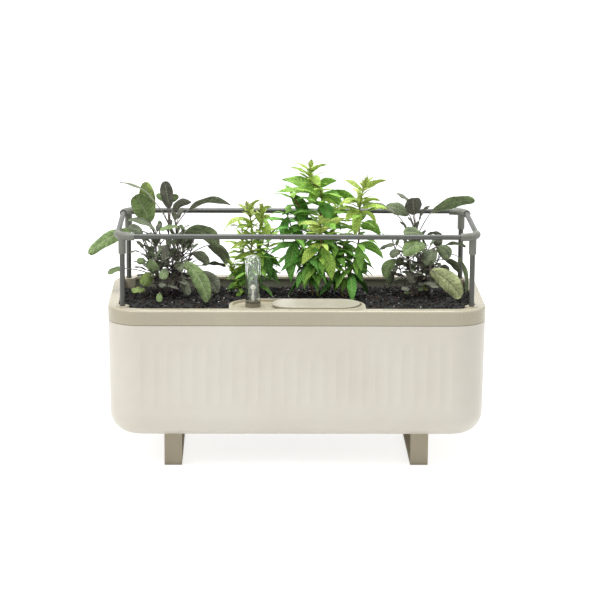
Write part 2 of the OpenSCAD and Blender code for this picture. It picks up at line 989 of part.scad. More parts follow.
// A stem or stalk through its points, thinning towards its end
module stem(points, r_low, r_high) {
    last = len(points) - 1;
    for (i = [0 : last - 1])
        hull() {
            translate(points[i])
                sphere(r = r_low + (r_high - r_low) * i / last, $fn = 6);
            translate(points[i + 1])
                sphere(r = r_low + (r_high - r_low) * (i + 1) / last, $fn = 6);
        }
}

// The point of a stem at a height
function at_height(path, z, i = 0) =
    i >= len(path) - 2 || path[i + 1][2] >= z
        ? path[i] + (z - path[i][2]) / (path[i + 1][2] - path[i][2]) * (path[i + 1] - path[i])
        : at_height(path, z, i + 1);

// Leaves with stalks. Each row: the number of the stem and the height where the stalk
// leaves it, the blade's base and tip, its width, its arch and its turn.
module stalked_leaves(stems, rows) {
    for (row = rows) {
        stem(
            [at_height(stems[row[0]], row[1]), row[2]],
            stalk_r, stalk_r * 0.8
        );
        blade(row[2], row[3], row[4], row[5], row[6], 1);
    }
}

// Leaves that sit on the stem. Each row: base, tip, width, arch and turn.
module sitting_leaves(rows) {
    for (row = rows)
        blade(row[0], row[1], row[2], row[3], row[4], 0);
}

// Stands a plant on the soil, at a place given from the middle of the pot
module planted(x, y) {
    translate([x, y, rim_z - soil_gap - 3])
        children();
}

// Garden sage at the left
module sage_left() {
    stems = [
        [[-9, -4, -10], [-15, -3, 40], [-18, 0, 104]],
        [[0, 0, -10], [2, 0, 60], [4, 0, 124]],
        [[8, 2, -10], [18, 2, 60], [15, 0, 122]],
        [[16, 6, -8], [24, 5, 62]]
    ];
    color("#6f8058")
        planted(-210, 15)
            union() {
                for (path = stems)
                    stem(path, stem_r, 1.4);
                stalked_leaves(stems, [
                    [0, 102, [-26, 10, 122], [-34, 12, 188], 26, 0, 5],
                    [0, 98, [-27, 4, 122], [-50, 0, 168], 34, 2, -10],
                    [1, 120, [-16, -5, 155], [-74, -8, 190], 18, 10, 80],
                    [1, 120, [5, 0, 146], [-2, -6, 192], 21, 0, 0],
                    [1, 122, [1, 8, 156], [-16, 12, 168], 12, 1, 10],
                    [1, 122, [6, 8, 156], [19, 12, 166], 12, 1, 10],
                    [2, 116, [10, -2, 142], [40, -8, 159], 15, 5, 30],
                    [2, 118, [36, -8, 145], [105, -14, 154], 20, 11, 60],
                    [0, 100, [-55, 8, 110], [-128, 8, 70], 24, 7, 30],
                    [0, 94, [-18, -8, 112], [-62, -12, 130], 20, 8, 60],
                    [0, 90, [-37, -20, 106], [-60, -26, 121], 16, 3, 20],
                    [2, 100, [20, -15, 120], [-10, -22, 115], 14, 3, 60],
                    [2, 92, [30, -6, 110], [86, -12, 85], 30, 10, 40],
                    [2, 84, [14, 10, 96], [40, 16, 82], 24, 4, 20],
                    [3, 60, [67, 10, 84], [99, 10, 54], 20, 6, 30],
                    [3, 48, [56, 15, 50], [96, 20, 47], 16, 3, 70],
                    [2, 66, [42, -10, 75], [68, -16, 57], 18, 4, 30],
                    [2, 52, [30, -40, 67], [68, -75, 8], 25, 8, 15],
                    [3, 36, [50, -14, 44], [83, -24, 12], 28, 4, 15],
                    [2, 26, [28, -24, 34], [36, -34, 10], 14, 0, 0],
                    [0, 34, [-70, -10, 50], [-95, -15, 42], 14, 3, 50],
                    [0, 52, [-38, -18, 74], [-59, -24, 78], 10, 5, 80],
                    [0, 46, [-32, -32, 66], [-47, -36, 66], 12, 1, 20],
                    [0, 24, [-12, -36, 50], [-30, -44, 68], 18, 0, 10],
                    [1, 32, [2, -46, 57], [-6, -60, 42], 15, 0, 0],
                    [0, 20, [-24, -26, 46], [-38, -34, 26], 20, 0, 0],
                    [0, 8, [-33, -26, 18], [-56, -34, 17], 14, 2, 50],
                    [0, 3, [-10, -52, 18], [-10, -66, 6], 10, 0, 0],
                    [1, 78, [-2, -28, 90], [0, -34, 62], 14, 0, 0],
                    [1, 40, [14, -28, 60], [28, -40, 52], 14, 2, 10],
                    [0, 60, [-6, -20, 70], [-22, -28, 70], 12, 1, 15]
                ]);
            }
}

// Young lemon verbena behind the gauge
module verbena_small() {
    color("#9dbb4a")
        planted(-72, 30)
            union() {
                stem([[0, 0, -10], [-1, 0, 58], [0, 0, 112], [-7, 0, 147]], stem_r, 1);
                stem([[6, 3, -10], [9, 2, 60], [14, 2, 115], [15, 2, 143]], stem_r, 1);
                sitting_leaves([
                    [[-5, 0, 138], [-24, -4, 152], 8, 3, 45],
                    [[-5, 0, 139], [16, -4, 160], 9, 4, 45],
                    [[-7, 0, 145], [-9, -3, 158], 6, 0, 0],
                    [[-1, 0, 124], [-45, -8, 108], 12, 12, 50],
                    [[0, 0, 112], [-27, -8, 111], 10, 6, 50],
                    [[0, 0, 102], [-20, -12, 97], 12, 3, 20],
                    [[15, 2, 138], [36, -2, 146], 8, 4, 50],
                    [[15, 2, 141], [17, -1, 154], 7, 0, 0],
                    [[14, 2, 126], [35, -5, 122], 10, 6, 40],
                    [[14, 2, 112], [30, -8, 99], 12, 3, 30],
                    [[-1, 0, 86], [-34, -8, 78], 10, 6, 40],
                    [[-1, 0, 70], [-30, -5, 58], 10, 3, 30],
                    [[10, 2, 80], [31, -12, 28], 20, 5, 0],
                    [[9, 2, 52], [44, -8, 24], 16, 5, 15],
                    [[9, 3, 64], [48, 6, 46], 15, 5, 15],
                    [[-1, 0, 46], [-38, -10, 32], 16, 3, 20],
                    [[-1, 0, 28], [-40, -16, 13], 15, 3, 20],
                    [[-1, -1, 38], [-20, -24, 20], 14, 3, 20],
                    [[10, 1, 72], [18, -22, 50], 10, 3, 10]
                ]);
            }
}

// Tall lemon verbena in the middle, with a branch at the left and a shoot in front
module verbena_centre() {
    color("#5f9c3c")
        planted(35, 5)
            union() {
                stem([
                    [0, 0, -10], [1, 0, 55], [3, 0, 110], [6, 0, 166], [1, 0, 183],
                    [-11, 0, 191], [-15, 0, 205], [-13, 0, 218]
                ], 2.4, 1);
                stem([[3, 0, 98], [-25, 6, 140], [-43, 12, 172]], 1.8, 1.2);
                stem([[1, 0, 50], [-32, -4, 90], [-50, -5, 140]], 1.8, 1.2);
                stem([[1, 0, 36], [5, -18, 90], [2, -32, 133]], 1.8, 1);
                sitting_leaves([
                    [[-15, 0, 204], [-45, -6, 217], 9, 3, 50],
                    [[-14, 0, 212], [-37, 6, 222], 7, 2, 50],
                    [[-14, 0, 206], [16, -5, 221], 9, 4, 50],
                    [[-13, 0, 216], [-11, -3, 230], 9, 0, 0],
                    [[-14, -1, 202], [3, -16, 186], 14, 4, 0],
                    [[1, 0, 184], [30, -6, 195], 15, 4, 25],
                    [[-11, 0, 191], [-30, 6, 194], 8, 2, 50],
                    [[0, -1, 180], [-59, -9, 197], 20, 6, 25],
                    [[2, 1, 176], [-69, 14, 173], 14, 5, 45],
                    [[2, -1, 178], [-16, -20, 158], 16, 3, 0],
                    [[-42, 12, 170], [-18, 16, 118], 20, 6, 10],
                    [[5, -1, 172], [40, -8, 152], 20, 6, 20],
                    [[6, 1, 168], [65, 12, 160], 18, 7, 40],
                    [[5, -1, 158], [20, -18, 130], 21, 4, 5],
                    [[6, -1, 163], [30, -22, 155], 9, 4, 50],
                    [[-30, 8, 150], [-26, -6, 122], 18, 4, 5],
                    [[-34, -4, 98], [-42, -20, 30], 21, 7, 5],
                    [[-49, -5, 136], [-56, -16, 96], 14, 4, 5],
                    [[-42, -5, 120], [-22, -20, 84], 16, 3, 0],
                    [[-24, -3, 80], [-30, -6, 50], 14, 4, 5],
                    [[-8, -1, 60], [-22, -26, 20], 16, 5, 0],
                    [[1, 0, 66], [5, -10, 34], 10, 2, 10],
                    [[5, -18, 88], [22, -36, 36], 21, 6, 0],
                    [[4, -20, 94], [-27, -38, 62], 17, 5, 10],
                    [[2, -31, 129], [-33, -38, 128], 10, 4, 45],
                    [[3, -27, 116], [-20, -46, 124], 11, 3, 10],
                    [[3, -27, 114], [45, -38, 140], 13, 5, 20],
                    [[2, -31, 129], [22, -44, 138], 8, 3, 50],
                    [[2, -32, 131], [5, -38, 145], 8, 0, 0],
                    [[5, 1, 140], [38, 6, 112], 20, 6, 5],
                    [[2, 1, 98], [33, 8, 68], 18, 5, 5]
                ]);
            }
}

// Lemon verbena to the right of the middle
module verbena_right() {
    color("#86b544")
        planted(82, 0)
            union() {
                stem([
                    [0, 0, -10], [4, 0, 36], [18, 0, 89], [20, 0, 150], [24, 0, 174],
                    [30, 0, 194]
                ], 2.2, 0.9);
                stem([[4, 0, 36], [-4, 4, 60], [-6, 6, 90]], 1.4, 1);
                sitting_leaves([
                    [[25, 0, 178], [-8, -6, 198], 11, 4, 40],
                    [[26, 0, 179], [63, -6, 197], 12, 4, 40],
                    [[29, 0, 190], [32, -3, 202], 7, 0, 0],
                    [[28, 0, 186], [24, 5, 198], 5, 0, 0],
                    [[21, -1, 157], [56, -9, 163], 10, 5, 55],
                    [[21, -1, 160], [-16, -26, 158], 12, 7, 45],
                    [[20, -1, 145], [47, -12, 121], 10, 8, 50],
                    [[20, 1, 122], [55, 6, 103], 19, 8, 25],
                    [[20, -1, 147], [12, -22, 106], 15, 3, 0],
                    [[20, -1, 148], [-4, -18, 130], 14, 5, 15],
                    [[18, 0, 92], [59, -6, 68], 15, 7, 25],
                    [[18, -1, 90], [22, -24, 50], 15, 4, 0],
                    [[13, 1, 70], [32, 6, 38], 13, 6, 10],
                    [[9, 0, 54], [26, -12, 30], 11, 3, 10],
                    [[4, -1, 36], [-8, -14, 14], 9, 3, 10],
                    [[3, 1, 32], [-16, 8, 18], 10, 3, 20],
                    [[-5, 6, 82], [-14, 4, 48], 14, 4, 5],
                    [[-6, 6, 88], [8, 10, 62], 14, 4, 10]
                ]);
            }
}

// Garden sage at the right
module sage_right() {
    stems = [
        [[0, 0, -10], [2, -2, 45], [0, 0, 90], [-3, 2, 114]],
        [[-6, 0, -10], [-10, -4, 36], [-14, -2, 66], [-12, 0, 108]],
        [[4, -2, 20], [14, -2, 70], [22, 2, 78]],
        [[6, 0, -8], [22, 2, 60]]
    ];
    color("#7c8a66")
        planted(197, 20)
            union() {
                for (path = stems)
                    stem(path, stem_r, 1.4);
                stalked_leaves(stems, [
                    [0, 106, [-5, 0, 136], [-9, -12, 166], 30, 0, 0],
                    [0, 110, [-12, 10, 156], [-34, 12, 170], 14, 2, 60],
                    [1, 106, [-36, -5, 139], [-90, -10, 154], 20, 8, 65],
                    [0, 108, [-13, 14, 134], [-50, 22, 147], 22, 3, 20],
                    [0, 104, [3, 6, 126], [21, 8, 150], 12, 3, 60],
                    [0, 100, [22, -5, 141], [92, -5, 161], 24, 5, 45],
                    [0, 88, [10, -22, 104], [-25, -32, 113], 24, 4, 35],
                    [0, 74, [12, -30, 92], [-26, -44, 80], 26, 6, 25],
                    [1, 70, [-33, 2, 87], [-61, 2, 79], 12, 3, 60],
                    [1, 64, [-28, -14, 80], [-45, -22, 71], 14, 2, 20],
                    [1, 52, [-35, -16, 66], [-53, -22, 36], 18, 6, 15],
                    [1, 56, [-22, 8, 64], [-32, 10, 50], 12, 0, 0],
                    [1, 28, [-40, -6, 40], [-46, -10, 23], 12, 0, 0],
                    [1, 32, [-16, -20, 44], [-5, -30, 29], 13, 0, 0],
                    [2, 68, [27, -22, 84], [12, -34, 60], 22, 0, 10],
                    [2, 74, [32, -12, 86], [50, -20, 66], 22, 4, 20],
                    [2, 75, [33, 8, 82], [34, 12, 96], 14, 0, 0],
                    [0, 92, [14, 10, 100], [41, 14, 101], 10, 3, 60],
                    [3, 56, [46, 2, 62], [70, 2, 40], 14, 4, 40],
                    [2, 76, [42, 8, 82], [80, 10, 81], 14, 5, 70],
                    [2, 76, [66, -14, 70], [78, -27, 12], 12, 6, 65],
                    [0, 42, [20, -34, 52], [68, -60, 12], 32, 6, 15],
                    [2, 20, [10, -18, 28], [14, -26, 16], 8, 0, 0],
                    [3, 18, [26, 2, 34], [37, -2, 22], 12, 0, 0],
                    [1, 6, [-8, -22, 12], [-22, -28, 12], 9, 1, 60],
                    [3, 48, [38, 12, 48], [54, 16, 39], 12, 2, 20]
                ]);
            }
}

outer_pot();
left_foot();
right_foot();
foot_screws();
drain_plug();
inner_tub();
wick_basket_left();
wick_basket_right();
rim_frame();
gauge_collar();
gauge_dome();
indicator_rod();
float_body();
float_guide();
refill_lid();
potting_soil();
post_front_left();
post_front_right();
post_back_left();
post_back_right();
connector_front_left();
connector_front_right();
connector_back_left();
connector_back_right();
front_rail();
back_rail();
left_rail();
right_rail();
sage_left();
verbena_small();
verbena_centre();
verbena_right();
sage_right();
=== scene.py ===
import math
import random

import bpy
from mathutils import Euler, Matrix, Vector


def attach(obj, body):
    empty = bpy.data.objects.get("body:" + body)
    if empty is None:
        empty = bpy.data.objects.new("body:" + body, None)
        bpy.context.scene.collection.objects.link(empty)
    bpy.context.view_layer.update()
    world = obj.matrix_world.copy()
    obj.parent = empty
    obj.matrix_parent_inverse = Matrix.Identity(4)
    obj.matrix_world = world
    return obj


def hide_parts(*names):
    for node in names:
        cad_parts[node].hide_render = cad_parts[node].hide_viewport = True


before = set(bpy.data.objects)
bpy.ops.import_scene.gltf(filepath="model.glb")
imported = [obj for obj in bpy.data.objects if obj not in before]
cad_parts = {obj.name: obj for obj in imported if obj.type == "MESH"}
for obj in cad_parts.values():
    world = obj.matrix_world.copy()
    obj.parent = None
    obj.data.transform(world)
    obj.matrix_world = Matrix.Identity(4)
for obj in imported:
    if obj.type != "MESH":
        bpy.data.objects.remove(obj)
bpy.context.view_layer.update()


# The camera stands where the photograph was taken: about four metres in front, a metre
# above the floor, looking slightly down with a long lens.
camera_place = (-0.0806, -4.0324, 1.1004)
turn_right, look_down, tilt = (math.radians(a) for a in (1.239, 11.908, 0.366))
lens_mm, sensor_mm = 152.34, 36

bpy.ops.object.camera_add(location=camera_place)
camera = bpy.context.object
camera.name = "camera"
camera.rotation_euler = (
    Euler((0, 0, -turn_right)).to_matrix()
    @ Euler((math.pi / 2 - look_down, 0, 0)).to_matrix()
    @ Euler((0, 0, tilt)).to_matrix()
).to_euler()
camera.data.sensor_width = sensor_mm
camera.data.lens = lens_mm
camera.data.clip_end = 100
bpy.context.scene.camera = camera


# The outer pot: polypropylene, injection moulded in one piece and coloured cream. Its
# front and back are shallowly fluted, apart from a plain panel at the top of the middle.
def linear(hex_colour):
    """An sRGB hex colour as linear red, green, blue and alpha."""
    levels = [int(hex_colour[i:i + 2], 16) / 255 for i in (1, 3, 5)]
    return [v / 12.92 if v <= 0.04045 else ((v + 0.055) / 1.055) ** 2.4 for v in levels] + [1]


def put(material, kind, sockets=None, **settings):
    """Adds a shader node. A socket takes a value, or a link from a node or an output."""
    made = material.node_tree.nodes.new("ShaderNode" + kind)
    for name, value in settings.items():
        setattr(made, name, value)
    for name, value in (sockets or {}).items():
        if isinstance(value, bpy.types.Node):
            value = value.outputs[0]
        if isinstance(value, bpy.types.NodeSocket):
            material.node_tree.links.new(value, made.inputs[name])
        else:
            made.inputs[name].default_value = value
    return made


def new_material(name):
    """A material with no nodes yet."""
    material = bpy.data.materials.new(name)
    material.use_nodes = True
    material.node_tree.nodes.clear()
    return material


def surface(material, sockets):
    """Gives the material its shader and its output."""
    shader = put(material, "BsdfPrincipled", sockets)
    put(material, "OutputMaterial", {"Surface": shader})


# A Mix node takes its two colours at sockets 6 and 7, and gives the colour at output 2.
def moulded(name, body, shade, roughness, grain, depth, cloud=90):
    """Moulded plastic: clouds of a faintly uneven colour, and the grain that the tool's
    spark-eroded skin leaves. All sizes are in millimetres. A real grain is about a tenth
    of one across, too fine to show, so it is drawn ten times as coarse."""
    gloss_spread = 0.06
    material = new_material(name)
    place = put(material, "TexCoord").outputs["Object"]
    clouds = put(material, "TexNoise", {"Vector": place, "Scale": 1000 / cloud, "Detail": 3})
    spread = put(material, "MapRange", {"Value": clouds, "From Min": 0.35, "From Max": 0.65})
    colour = put(material, "Mix", {0: spread, 6: linear(shade), 7: linear(body)},
                 data_type="RGBA")
    skin = put(material, "TexNoise", {"Vector": place, "Scale": 1000 / grain, "Detail": 2})
    relief = put(material, "Bump", {"Height": skin, "Strength": 0.35,
                                    "Distance": depth / 1000})
    gloss = put(material, "MapRange", {"Value": skin, "To Min": roughness - gloss_spread,
                                       "To Max": roughness + gloss_spread})
    surface(material, {"Base Color": colour.outputs[2], "Roughness": gloss, "IOR": 1.49,
                       "Normal": relief})
    return material


def finish(material, *names):
    """Gives CAD nodes their material."""
    for name in names:
        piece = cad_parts[name]
        if not piece.material_slots:
            piece.data.materials.append(material)
        for place in piece.material_slots:
            place.material = material


# Cream polypropylene has a soft satin light that whitens at its rounded edges.
cream = moulded("cream polypropylene", "#E9E2D6", "#E5DDD0",
                roughness=0.36, grain=1.2, depth=0.08)

# The solid has the flutes. Light from both sides nearly cancels their shade, so a relief
# of the same pitch deepens them. It fades at both ends, and ends lower under the panel.
flute_pitch, flute_depth, flute_fade = 0.0205, 0.0003, 0.018
fluted_half, flutes_from, flutes_to = 0.246, 0.103, 0.217
panel_half, panel_drop = 0.082, 0.014

spot = put(cream, "SeparateXYZ", {0: put(cream, "TexCoord").outputs["Object"]}).outputs
turn = put(cream, "Math", {0: spot["X"], 1: 1 / flute_pitch}, operation="MULTIPLY")
part = put(cream, "Math", {0: turn}, operation="FRACT")
across = put(cream, "Math", {0: part, 1: 2, 2: -1}, operation="MULTIPLY_ADD")
hollow = put(cream, "Math", {0: across, 1: across}, operation="MULTIPLY")
side = put(cream, "Math", {0: spot["X"]}, operation="ABSOLUTE")
fluted = put(cream, "Math", {0: side, 1: fluted_half}, operation="LESS_THAN")
panel = put(cream, "Math", {0: side, 1: panel_half}, operation="LESS_THAN")
height = put(cream, "Math", {0: panel, 1: panel_drop, 2: spot["Z"]},
             operation="MULTIPLY_ADD")
low_end = put(cream, "MapRange", {"Value": spot["Z"], "From Min": flutes_from,
                                  "From Max": flutes_from + flute_fade})
top_end = put(cream, "MapRange", {"Value": height, "From Min": flutes_to,
                                  "From Max": flutes_to - flute_fade})
ends = put(cream, "Math", {0: low_end, 1: top_end}, operation="MULTIPLY")
zone = put(cream, "Math", {0: ends, 1: fluted}, operation="MULTIPLY")
dip = put(cream, "Math", {0: hollow, 1: zone}, operation="MULTIPLY")
flutes = put(cream, "Bump", {"Height": dip, "Strength": 1, "Distance": flute_depth})
# The grain, which is the material's first bump, lies on top of the flutes.
grain = cream.node_tree.nodes["Bump"]
cream.node_tree.links.new(flutes.outputs[0], grain.inputs["Normal"])
finish(cream, "outer_pot")


# The feet: moulded polypropylene straps with ribbed edges, fixed under the pot by
# zinc-plated pan head screws. A rubber bung, pushed in from below, closes the drain.

# The feet's polypropylene is darker than the rim's, and duller.
finish(moulded("taupe polypropylene", "#B9AF98", "#B2A891",
               roughness=0.52, grain=1.2, depth=0.08),
       "left_foot", "right_foot")

# Zinc plate gives a bluish shine, which is duller in small blotches.
zinc_blotch = 1.11
zinc = new_material("zinc plated steel")
place = put(zinc, "TexCoord").outputs["Object"]
blotches = put(zinc, "TexNoise", {"Vector": place, "Scale": 1000 / zinc_blotch, "Detail": 3})
gloss = put(zinc, "MapRange", {"Value": blotches, "To Min": 0.24, "To Max": 0.42})
surface(zinc, {"Base Color": linear("#B9BBBD"), "Metallic": 1, "Roughness": gloss})
finish(zinc, "foot_screws")

# Black rubber is dull, and dust greys it in patches.
dust_patch = 4.55
rubber = new_material("moulded black rubber")
place = put(rubber, "TexCoord").outputs["Object"]
dust = put(rubber, "TexNoise", {"Vector": place, "Scale": 1000 / dust_patch, "Detail": 4})
colour = put(rubber, "Mix", {0: dust, 6: linear("#232322"), 7: linear("#3B3A37")},
             data_type="RGBA")
relief = put(rubber, "Bump", {"Height": dust, "Strength": 0.3, "Distance": 0.0002})
surface(rubber, {"Base Color": colour.outputs[2], "Roughness": 0.78, "Normal": relief})
finish(rubber, "drain_plug")


# The rim frame: one polypropylene moulding with the band, the flat rim, the corner bosses
# and the oval service deck, set on the pot. The lid, also moulded, lies loose in the deck.

# The rim is glossier than the pot, so at a low angle its flat tops mirror the white wall.
# The lid is from a slightly greyer mix.
finish(moulded("light taupe polypropylene", "#C3BAA3", "#BDB39C",
               roughness=0.27, grain=1.2, depth=0.08),
       "rim_frame")
finish(moulded("beige polypropylene", "#C4BCAA", "#BEB5A3",
               roughness=0.3, grain=1.2, depth=0.08),
       "refill_lid")


# The soil tub and its two wick baskets: moulded polypropylene. The tub hangs in the rim
# frame, and the slotted baskets hang by their lips in the tub's floor.

# Grey-olive polypropylene with a coarser grain looks matt and a little clouded.
finish(moulded("olive polypropylene", "#918E7E", "#8D8A79",
               roughness=0.6, grain=1.6, depth=0.1, cloud=60),
       "inner_tub", "wick_basket_left", "wick_basket_right")


# The float gauge: moulded collar and guide tube, a clear acrylic tube with a domed top, and
# a rod with a ball, pushed into a foamed float. The collar stands in the deck and carries
# the dome.

# Grey-taupe polypropylene is darker than the rim, with a fine even grain.
finish(moulded("grey taupe polypropylene", "#8F8A78", "#857F6E",
               roughness=0.45, grain=1, depth=0.06),
       "gauge_collar", "float_guide")

# Moulded acrylic is clear and smooth, with bright edges and the faintest haze.
haze_patch = 11.1
acrylic = new_material("clear moulded acrylic")
place = put(acrylic, "TexCoord").outputs["Object"]
haze = put(acrylic, "TexNoise", {"Vector": place, "Scale": 1000 / haze_patch, "Detail": 3})
gloss = put(acrylic, "MapRange", {"Value": haze, "To Min": 0, "To Max": 0.03})
surface(acrylic, {"Base Color": linear("#F4F7F4"), "Roughness": gloss, "IOR": 1.49,
                  "Transmission Weight": 1})
finish(acrylic, "gauge_dome")

# Solid polystyrene is glossy, so the ball catches the light, and foamed it looks beady.
finish(moulded("glossy cream polystyrene", "#F1EEDD", "#EAE6D2",
               roughness=0.25, grain=0.8, depth=0.02),
       "indicator_rod")
finish(moulded("foamed white polystyrene", "#E4E1D6", "#D8D4C6",
               roughness=0.7, grain=2.4, depth=0.3, cloud=10),
       "float_body")


# The plant support: mild steel tube, powder coated dark grey, pushed into moulded nylon
# corner connectors and into the rim's four bosses.

# Baked powder flows out to a faint orange peel, which breaks up its sheen, and it is a
# little lighter where hands have worn it.
corners = ("front_left", "front_right", "back_left", "back_right")
peel_wave, wear_patch = 1.43, 40
powder = new_material("powder coated steel tube")
place = put(powder, "TexCoord").outputs["Object"]
peel = put(powder, "TexNoise", {"Vector": place, "Scale": 1000 / peel_wave, "Detail": 1})
worn = put(powder, "TexNoise", {"Vector": place, "Scale": 1000 / wear_patch, "Detail": 4})
colour = put(powder, "Mix", {0: worn, 6: linear("#4A4B46"), 7: linear("#5B5C56")},
             data_type="RGBA")
relief = put(powder, "Bump", {"Height": peel, "Strength": 0.25, "Distance": 0.00006})
surface(powder, {"Base Color": colour.outputs[2], "Roughness": 0.36, "IOR": 1.5,
                 "Normal": relief})
finish(powder, *["post_" + corner for corner in corners],
       "front_rail", "back_rail", "left_rail", "right_rail")

# The nylon is lighter than the powder coat and a little duller.
finish(moulded("grey nylon", "#7C7D73", "#73746A", roughness=0.42, grain=1, depth=0.06),
       *["connector_" + corner for corner in corners])


# The potting mix: peat and bark fines with perlite. Its solid lies in the tub, and loose
# crumbs, bark chips and white perlite grains are strewn over the crown.
def soil_material(name, low, high, grain):
    """Damp crumbly earth: dark and light patches of a crumb's size, in millimetres, and a
    rough relief that leaves it without a shine."""
    material = new_material(name)
    place = put(material, "TexCoord").outputs["Object"]
    crumbs = put(material, "TexNoise", {"Vector": place, "Scale": 1000 / grain, "Detail": 5,
                                        "Roughness": 0.7})
    ramp = put(material, "MapRange", {"Value": crumbs, "From Min": 0.4, "From Max": 0.68})
    colour = put(material, "Mix", {0: ramp, 6: linear(low), 7: linear(high)},
                 data_type="RGBA")
    relief = put(material, "Bump", {"Height": crumbs, "Strength": 0.9,
                                    "Distance": grain / 2000})
    surface(material, {"Base Color": colour.outputs[2], "Roughness": 0.85,
                       "Normal": relief})
    return material


# Damp peat is nearly black, and composted bark is a warmer brown.
earth = soil_material("damp peat", "#11100F", "#26231F", grain=4)
bark = soil_material("composted bark", "#2B211A", "#5A4636", grain=3)
finish(earth, "potting_soil")

# Perlite is glassy rock puffed up white, with pores that grey it.
perlite_pore = 0.667
perlite = new_material("expanded perlite")
place = put(perlite, "TexCoord").outputs["Object"]
pores = put(perlite, "TexVoronoi", {"Vector": place, "Scale": 1000 / perlite_pore})
colour = put(perlite, "Mix", {0: pores, 6: linear("#D9D6CC"), 7: linear("#A8A398")},
             data_type="RGBA")
surface(perlite, {"Base Color": colour.outputs[2], "Roughness": 0.8})

# Sizes of the open soil, in metres. The service well cuts in from the front. It is taken as
# a rounded box with its middle far out in front, because only its back end counts.
soil_top, crown_radius = 0.254, 0.7123
tub_half_x, tub_half_y, tub_corner = 0.2845, 0.1295, 0.0385
well_middle, well_back, well_half, well_corner = -0.2, -0.0495, 0.1105, 0.048
boss_x, boss_y, boss_radius = 0.2756, 0.1116, 0.0115

# About one whole turn, in radians.
full_turn = 6.28


def soil_height(x, y):
    """Height of the soil's low crown."""
    return soil_top - crown_radius + math.sqrt(crown_radius ** 2 - y * y)


def rounded_inside(x, y, half_x, half_y, corner):
    """How far a point lies inside a rounded rectangle; negative outside it."""
    over_x = abs(x) - half_x + corner
    over_y = abs(y) - half_y + corner
    if over_x > 0 and over_y > 0:
        return corner - math.hypot(over_x, over_y)
    return corner - max(over_x, over_y)


def on_soil(x, y, margin):
    """Whether a spot is on open soil, clear of the tub, the service well and the bosses."""
    if rounded_inside(x, y, tub_half_x, tub_half_y, tub_corner) < margin:
        return False
    if rounded_inside(x, y - well_middle, well_half, well_back - well_middle,
                      well_corner) > -margin:
        return False
    return math.hypot(abs(x) - boss_x, abs(y) - boss_y) > boss_radius + margin


def deselect():
    """Leaves nothing selected, because an operator acts on all that is."""
    if bpy.context.mode != "OBJECT":
        bpy.ops.object.mode_set(mode="OBJECT")
    bpy.ops.object.select_all(action="DESELECT")


def joined(name, points, faces, materials):
    """A mesh piece from points and faces."""
    mesh = bpy.data.meshes.new(name)
    mesh.from_pydata(points, [], faces)
    mesh.update()
    piece = bpy.data.objects.new(name, mesh)
    bpy.context.scene.collection.objects.link(piece)
    for material in materials:
        mesh.materials.append(material)
    return piece


# One crumb is a ball of twenty faces, pressed out of round. Its copies are turned and
# dented, and stretched to bark chips or shrunk to perlite.
deselect()
bpy.ops.mesh.primitive_ico_sphere_add(subdivisions=1, radius=1)
crumb = bpy.context.object
bpy.ops.object.mode_set(mode="EDIT")
bpy.ops.transform.resize(value=(1.15, 0.9, 0.75))
bpy.ops.object.mode_set(mode="OBJECT")
crumb_points = [v.co.copy() for v in crumb.data.vertices]
crumb_faces = [list(f.vertices) for f in crumb.data.polygons]
bpy.data.objects.remove(crumb)


def strew(name, count, seed, sizes, stretch, sink, material):
    """Strews crumbs of a range of sizes, in metres, over the soil as one piece. The middle
    of a crumb lies sunk or proud by a share of its size, and its points are dented in or
    out by chance."""
    clearance, proudest = 1.2, 0.7
    dented_in, dent_range = 0.75, 0.5
    rng = random.Random(seed)
    points, faces = [], []
    while len(faces) < count * len(crumb_faces):
        x = rng.uniform(-tub_half_x, tub_half_x)
        y = rng.uniform(-tub_half_y, tub_half_y)
        size = rng.uniform(*sizes)
        if not on_soil(x, y, size * clearance):
            continue
        turned = Euler([rng.uniform(0, full_turn) for _ in range(3)]).to_matrix()
        long = rng.uniform(1, stretch)
        start = len(points)
        centre = Vector((x, y, soil_height(x, y) + size * rng.uniform(-sink, proudest)))
        for p in crumb_points:
            dent = dented_in + dent_range * rng.random()
            shaped = Vector((p.x * long, p.y, p.z)) * size * dent
            points.append(centre + turned @ shaped)
        faces += [[start + i for i in f] for f in crumb_faces]
    piece = joined(name, points, faces, [material])
    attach(piece, "insert")


strew("soil_crumbs", count=3600, seed=11, sizes=(0.0012, 0.0034), stretch=1.3, sink=0.5,
      material=earth)
strew("bark_chips", count=420, seed=12, sizes=(0.0013, 0.0026), stretch=2.8, sink=0.2,
      material=bark)
strew("perlite_grains", count=240, seed=13, sizes=(0.0008, 0.0017), stretch=1.2, sink=0.2,
      material=perlite)


